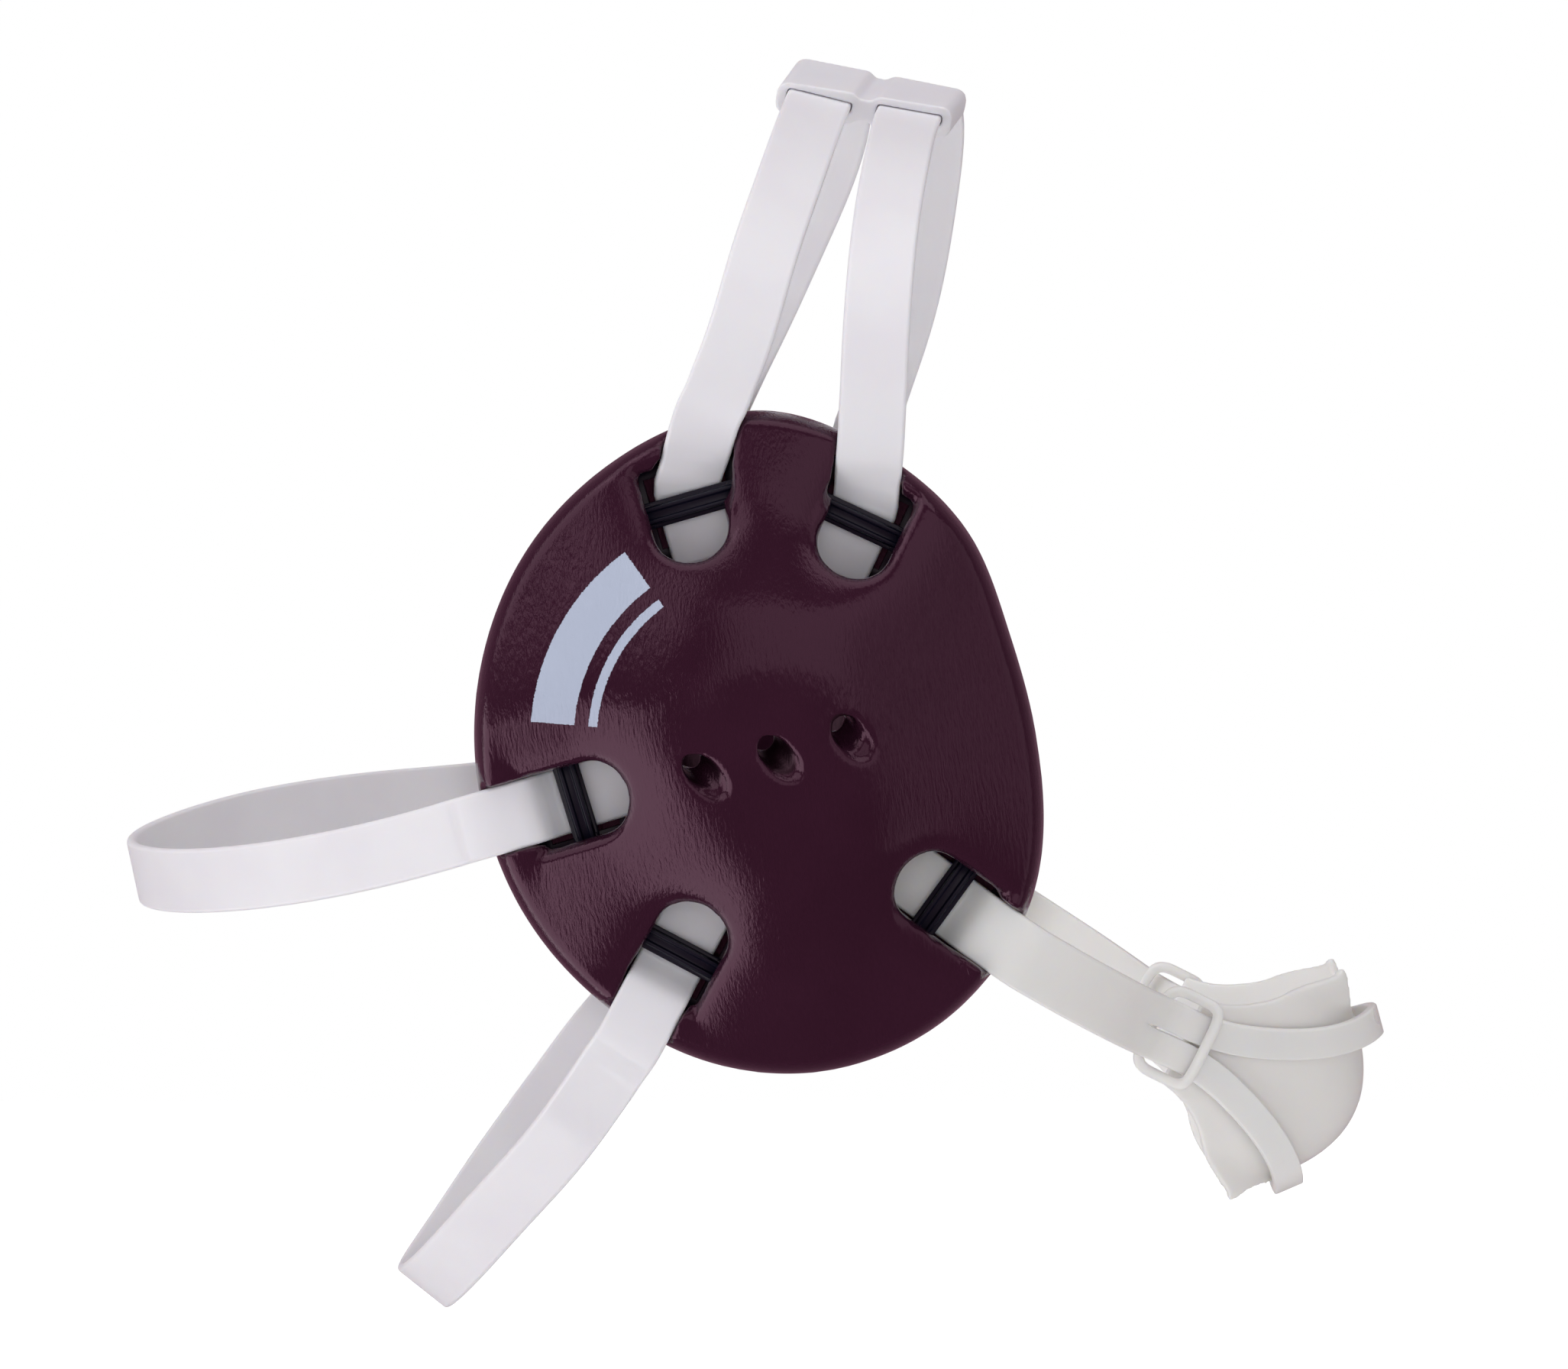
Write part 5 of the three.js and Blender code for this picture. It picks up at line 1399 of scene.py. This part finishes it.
def outer_height(forward, height):
    """Height of the outer face, turning down to the rim's widest line."""
    to_edge = outline_reach(forward, height) - np.hypot(forward, height)
    share = np.clip(1 - to_edge / RIM_ROUND, 0, 1)
    return RIM_EDGE + (lipped_height(forward, height) - RIM_EDGE) * np.sqrt(1 - share ** 2)


# Columns: size as a share of the cavity's half sizes, depth as a share of its depth
CAVITY = np.array([(1.14, 0), (1.0, 0.09), (0.965, 0.36), (0.93, 0.62), (0.85, 0.81), (0.68, 0.93),
                   (0.38, 0.985)])


def cup_blank(side, sectors=288):
    """A cup before its slots are cut."""
    angles = np.linspace(0, 360, sectors, endpoint=False)
    ways = np.array([heading(angle) for angle in angles])
    edge = outline_reach(ways[:, 0], ways[:, 2])

    def ring(reach, over):
        points = ways * np.asarray(reach)[:, None]
        points[:, 1] = side * (PAD_FACE + over)
        return points

    rings = []
    for share in np.linspace(0.015, 1, 70)[:-1] ** 0.9:
        reach = edge * share
        rings.append(ring(reach, outer_height(ways[:, 0] * reach, ways[:, 2] * reach)))
    for share in np.sin(np.linspace(0, math.pi / 2, 12)):
        drop = 1 - math.sqrt(1 - share ** 2)
        rings.append(ring(edge - drop * RIM_ROUND * 1.1, np.full(sectors, RIM_EDGE * (1 - share))))
    ellipse = 1 / np.hypot(ways[:, 0] / (CAVITY_WIDTH / 2), ways[:, 2] / (CAVITY_HEIGHT / 2))
    lip = ellipse * CAVITY[0, 0]
    inner = edge - RIM_ROUND * 1.1
    for share in np.linspace(0, 1, 22)[1:-1]:
        rings.append(ring(inner * (1 - share) + lip * share, np.zeros(sectors)))
    depth = CUP_DEPTH - CUP_WALL
    places = np.linspace(0, len(CAVITY) - 1, 30)
    profile = curve_points(CAVITY, places)
    for size, sunk in profile:
        rings.append(ring(ellipse * size, np.full(sectors, depth * sunk)))
    crown = float(face_height(0.0, 0.0))
    tips = [(0, side * (PAD_FACE + crown), 0), (0, side * (PAD_FACE + depth), 0)]
    return face_outwards(make_object("cup_blank", *skin_rings(rings, tips=tips)))


print("crown of the cup stands", round(1000 * float(face_height(0.0, 0.0)), 1), "mm over its pad")

# %% [markdown]
# Each cup has three vents in a row, drilled aslant. A small Geometry Nodes tree stands a bore on
# each point of a line, so their number and pitch are inputs, and makes them real for the cut.

# %% Vents
def bore_row_tree():
    tree = bpy.data.node_groups.new("bore_row", "GeometryNodeTree")
    face = tree.interface
    face.new_socket(name="Geometry", in_out="INPUT", socket_type="NodeSocketGeometry")
    for label, value in [("Radius", VENT_RADIUS), ("Length", 0.03)]:
        face.new_socket(name=label, in_out="INPUT", socket_type=FLOAT).default_value = value
    face.new_socket(name="Material", in_out="INPUT", socket_type="NodeSocketMaterial")
    face.new_socket(name="Geometry", in_out="OUTPUT", socket_type="NodeSocketGeometry")
    start = add_node(tree, "NodeGroupInput", (-600, 0))
    bore = add_node(tree, "GeometryNodeMeshCylinder", (-400, -200))
    bore.inputs["Vertices"].default_value = 40
    aim = add_node(tree, "GeometryNodeInputNamedAttribute", (-600, -400), data_type="FLOAT_VECTOR")
    aim.inputs["Name"].default_value = "aim"
    turn = add_node(tree, "FunctionNodeAlignRotationToVector", (-400, -400), axis="Z")
    stand = add_node(tree, "GeometryNodeInstanceOnPoints", (-100, 0))
    real = add_node(tree, "GeometryNodeRealizeInstances", (100, 0))
    dress = add_node(tree, "GeometryNodeSetMaterial", (300, 0))
    end = add_node(tree, "NodeGroupOutput", (500, 0))
    join(tree, start.outputs["Radius"], bore.inputs["Radius"])
    join(tree, start.outputs["Length"], bore.inputs["Depth"])
    join(tree, aim.outputs["Attribute"], turn.inputs["Vector"])
    join(tree, start.outputs["Geometry"], stand.inputs["Points"])
    join(tree, bore.outputs["Mesh"], stand.inputs["Instance"])
    join(tree, turn.outputs[0], stand.inputs["Rotation"])
    join(tree, stand.outputs[0], real.inputs[0])
    join(tree, real.outputs[0], dress.inputs["Geometry"])
    join(tree, start.outputs["Material"], dress.inputs["Material"])
    join(tree, dress.outputs[0], end.inputs[0])
    return tree


BORE_ROW = bore_row_tree()


def vent_bores(side):
    """The vents' bores through one cup, as a tool."""
    tilt, aim = math.radians(VENT_TILT), vent_aim(side)
    inner, outer = CUP_WALL * 1.6 / math.cos(tilt), VENT_RADIUS * 3.5
    points = []
    for spot in vent_spots():
        spot[1] = side * (PAD_FACE + float(face_height(spot[0], spot[2])))
        points.append(spot + aim * (outer - inner) / 2)
    bores = make_object("vent_bores", points, [])
    attribute = bores.data.attributes.new("aim", "FLOAT_VECTOR", "POINT")
    attribute.data.foreach_set("vector", np.tile(aim, 3).astype(np.float32))
    row = bores.modifiers.new("row", "NODES")
    row.node_group = BORE_ROW
    set_modifier(row, Radius=VENT_RADIUS, Length=inner + outer, Material=maroon_vinyl)
    return face_outwards(settle(bores))


print("vent tree has", len(BORE_ROW.nodes), "nodes")

# %% [markdown]
# A slot takes two tools: a slanted hole that is round at its inner end, and a pocket for the
# anchor's frame. A third tool runs along each strap and clears the channel that it lies in.


# %% Cup cutters
def slot_outline():
    """Outline of a slot: round at its inner end, square with small corners at its outer end."""
    half, corner = MOUTH_WIDTH / 2, SLOT_CORNER
    points = []
    for angle in np.linspace(90, 270, 30):
        turn = math.radians(angle)
        points.append((half - MOUTH_INBOARD + half * math.cos(turn), half * math.sin(turn)))
    for centre_y, start in ((corner - half, -90), (half - corner, 0)):
        for angle in np.linspace(start, start + 90, 7):
            turn = math.radians(angle)
            points.append((MOUTH_OUTBOARD - corner + corner * math.cos(turn),
                           centre_y + corner * math.sin(turn)))
    return np.array(points)


CHANNEL_HEADROOM, CHANNEL_GAP = 0.012, 0.0
CHANNEL_START, CHANNEL_END = 0.0022, 1.35 * MEAN_HALF


def slot_tools(slot, side):
    """The slot's slanted hole and the anchor's pocket, in place."""
    frame_matrix = slot_matrix(slot, side)
    lean, shift = Vector(slot_lean(slot)), Vector(slot_shift(slot))
    lean_x, lean_y = lean @ frame_matrix.col[0].xyz, lean @ frame_matrix.col[1].xyz
    shift_y = shift @ frame_matrix.col[1].xyz
    outline = slot_outline()
    rings = []
    for depth in (POCKET_FLOOR, POCKET_ROOF, CUP_DEPTH * 1.4):
        risen = max(depth - POCKET_ROOF, 0)
        rings.append([(x + lean_x * risen, y + lean_y * risen + shift_y, depth) for x, y in outline])
    points, faces = skin_rings(rings)
    hole = make_object("slot_hole", np.array(points) - np.array(EAR_AXIS), faces)
    half_width = ANCHOR_WIDTH / 2 + CLEARANCE
    pocket = block((-SHOWN_TAIL - CLEARANCE, -half_width, POCKET_FLOOR),
                   (SLOT_OUTBOARD, half_width, POCKET_ROOF))
    for tool in (hole, pocket):
        tool.data.transform(frame_matrix)
        face_outwards(tool)
    return [hole, pocket]


def channel_tool(path, side):
    """The channel that a strap lies in, over the shell outside its slot."""
    middles = path["middle"]
    rows = [row for row in range(len(middles)) if middles[row, 1] * side > PAD_FACE * 0.7]
    if np.hypot(*middles[rows[0], [0, 2]]) > np.hypot(*middles[rows[-1], [0, 2]]):
        rows = rows[::-1]
    start = next(row for row in rows if middles[row, 1] * side - PAD_FACE > STRAP_BED + CHANNEL_START)
    rows = rows[rows.index(start):]
    rows = [row for row in rows if np.hypot(*middles[row, [0, 2]]) < CHANNEL_END]
    return ribbon_tool(path, rows, CHANNEL_GAP, STRAP_THICKNESS / 2 + CLEARANCE, CHANNEL_HEADROOM)


print("pocket:", round(1000 * POCKET_FLOOR, 2), "to", round(1000 * POCKET_ROOF, 2), "mm over the pad")

# %% [markdown]
# After the cuts the skin has a stair of tiny steps left by the voxels. Points that lie close to
# the true face are put exactly on it, so the gloss stays clean, and points near a cut are relaxed
# until the lip is as round as the real one.

# %% Cups
CUP_VOXEL = 0.00062
SNAP_NEAR, SNAP_FAR = 0.00012, 0.0004
SNAP_RIM_LOW, SNAP_RIM_HIGH = 0.001, 0.0025


def snap_to_face(mesh, side):
    """Puts points of the outer face on the exact surface where no cut is near."""
    points = mesh_points(mesh)
    forward = points[:, 0] - EAR_AXIS.x
    height = points[:, 2] - EAR_AXIS.z
    over = side * points[:, 1] - PAD_FACE
    face = outer_height(forward, height)
    away = np.abs(over - face)
    to_edge = outline_reach(forward, height) - np.hypot(forward, height)
    weight = 1 - smoothstep(away, SNAP_NEAR, SNAP_FAR)
    weight *= smoothstep(to_edge, SNAP_RIM_LOW, SNAP_RIM_HIGH)
    points[:, 1] = side * (PAD_FACE + over + (face - over) * weight)
    put_points(mesh, points)
    return weight


def make_cup(side_name, side):
    cup = cup_blank(side)
    paths = [*STRAP_PATHS.values(), CHIN_PATHS[side]]
    tools = [tool for slot in SLOTS for tool in slot_tools(slot, side)]
    tools += [channel_tool(path, side) for path in paths]
    tools.append(vent_bores(side))
    cut_or_join(cup, tools, "DIFFERENCE")
    remesh(cup, CUP_VOXEL * COARSE)
    relax(cup.data, 3)
    held = snap_to_face(cup.data, side)
    relax(cup.data, 10, hold=held * 0.96)
    snap_to_face(cup.data, side)
    relax(cup.data, 1)
    cup.name = f"{side_name}_ear_cup_shell"
    finish_piece(cup, f"{side_name}_ear_cup", maroon_vinyl)


for side_name, side in SIDES.items():
    make_cup(side_name, side)
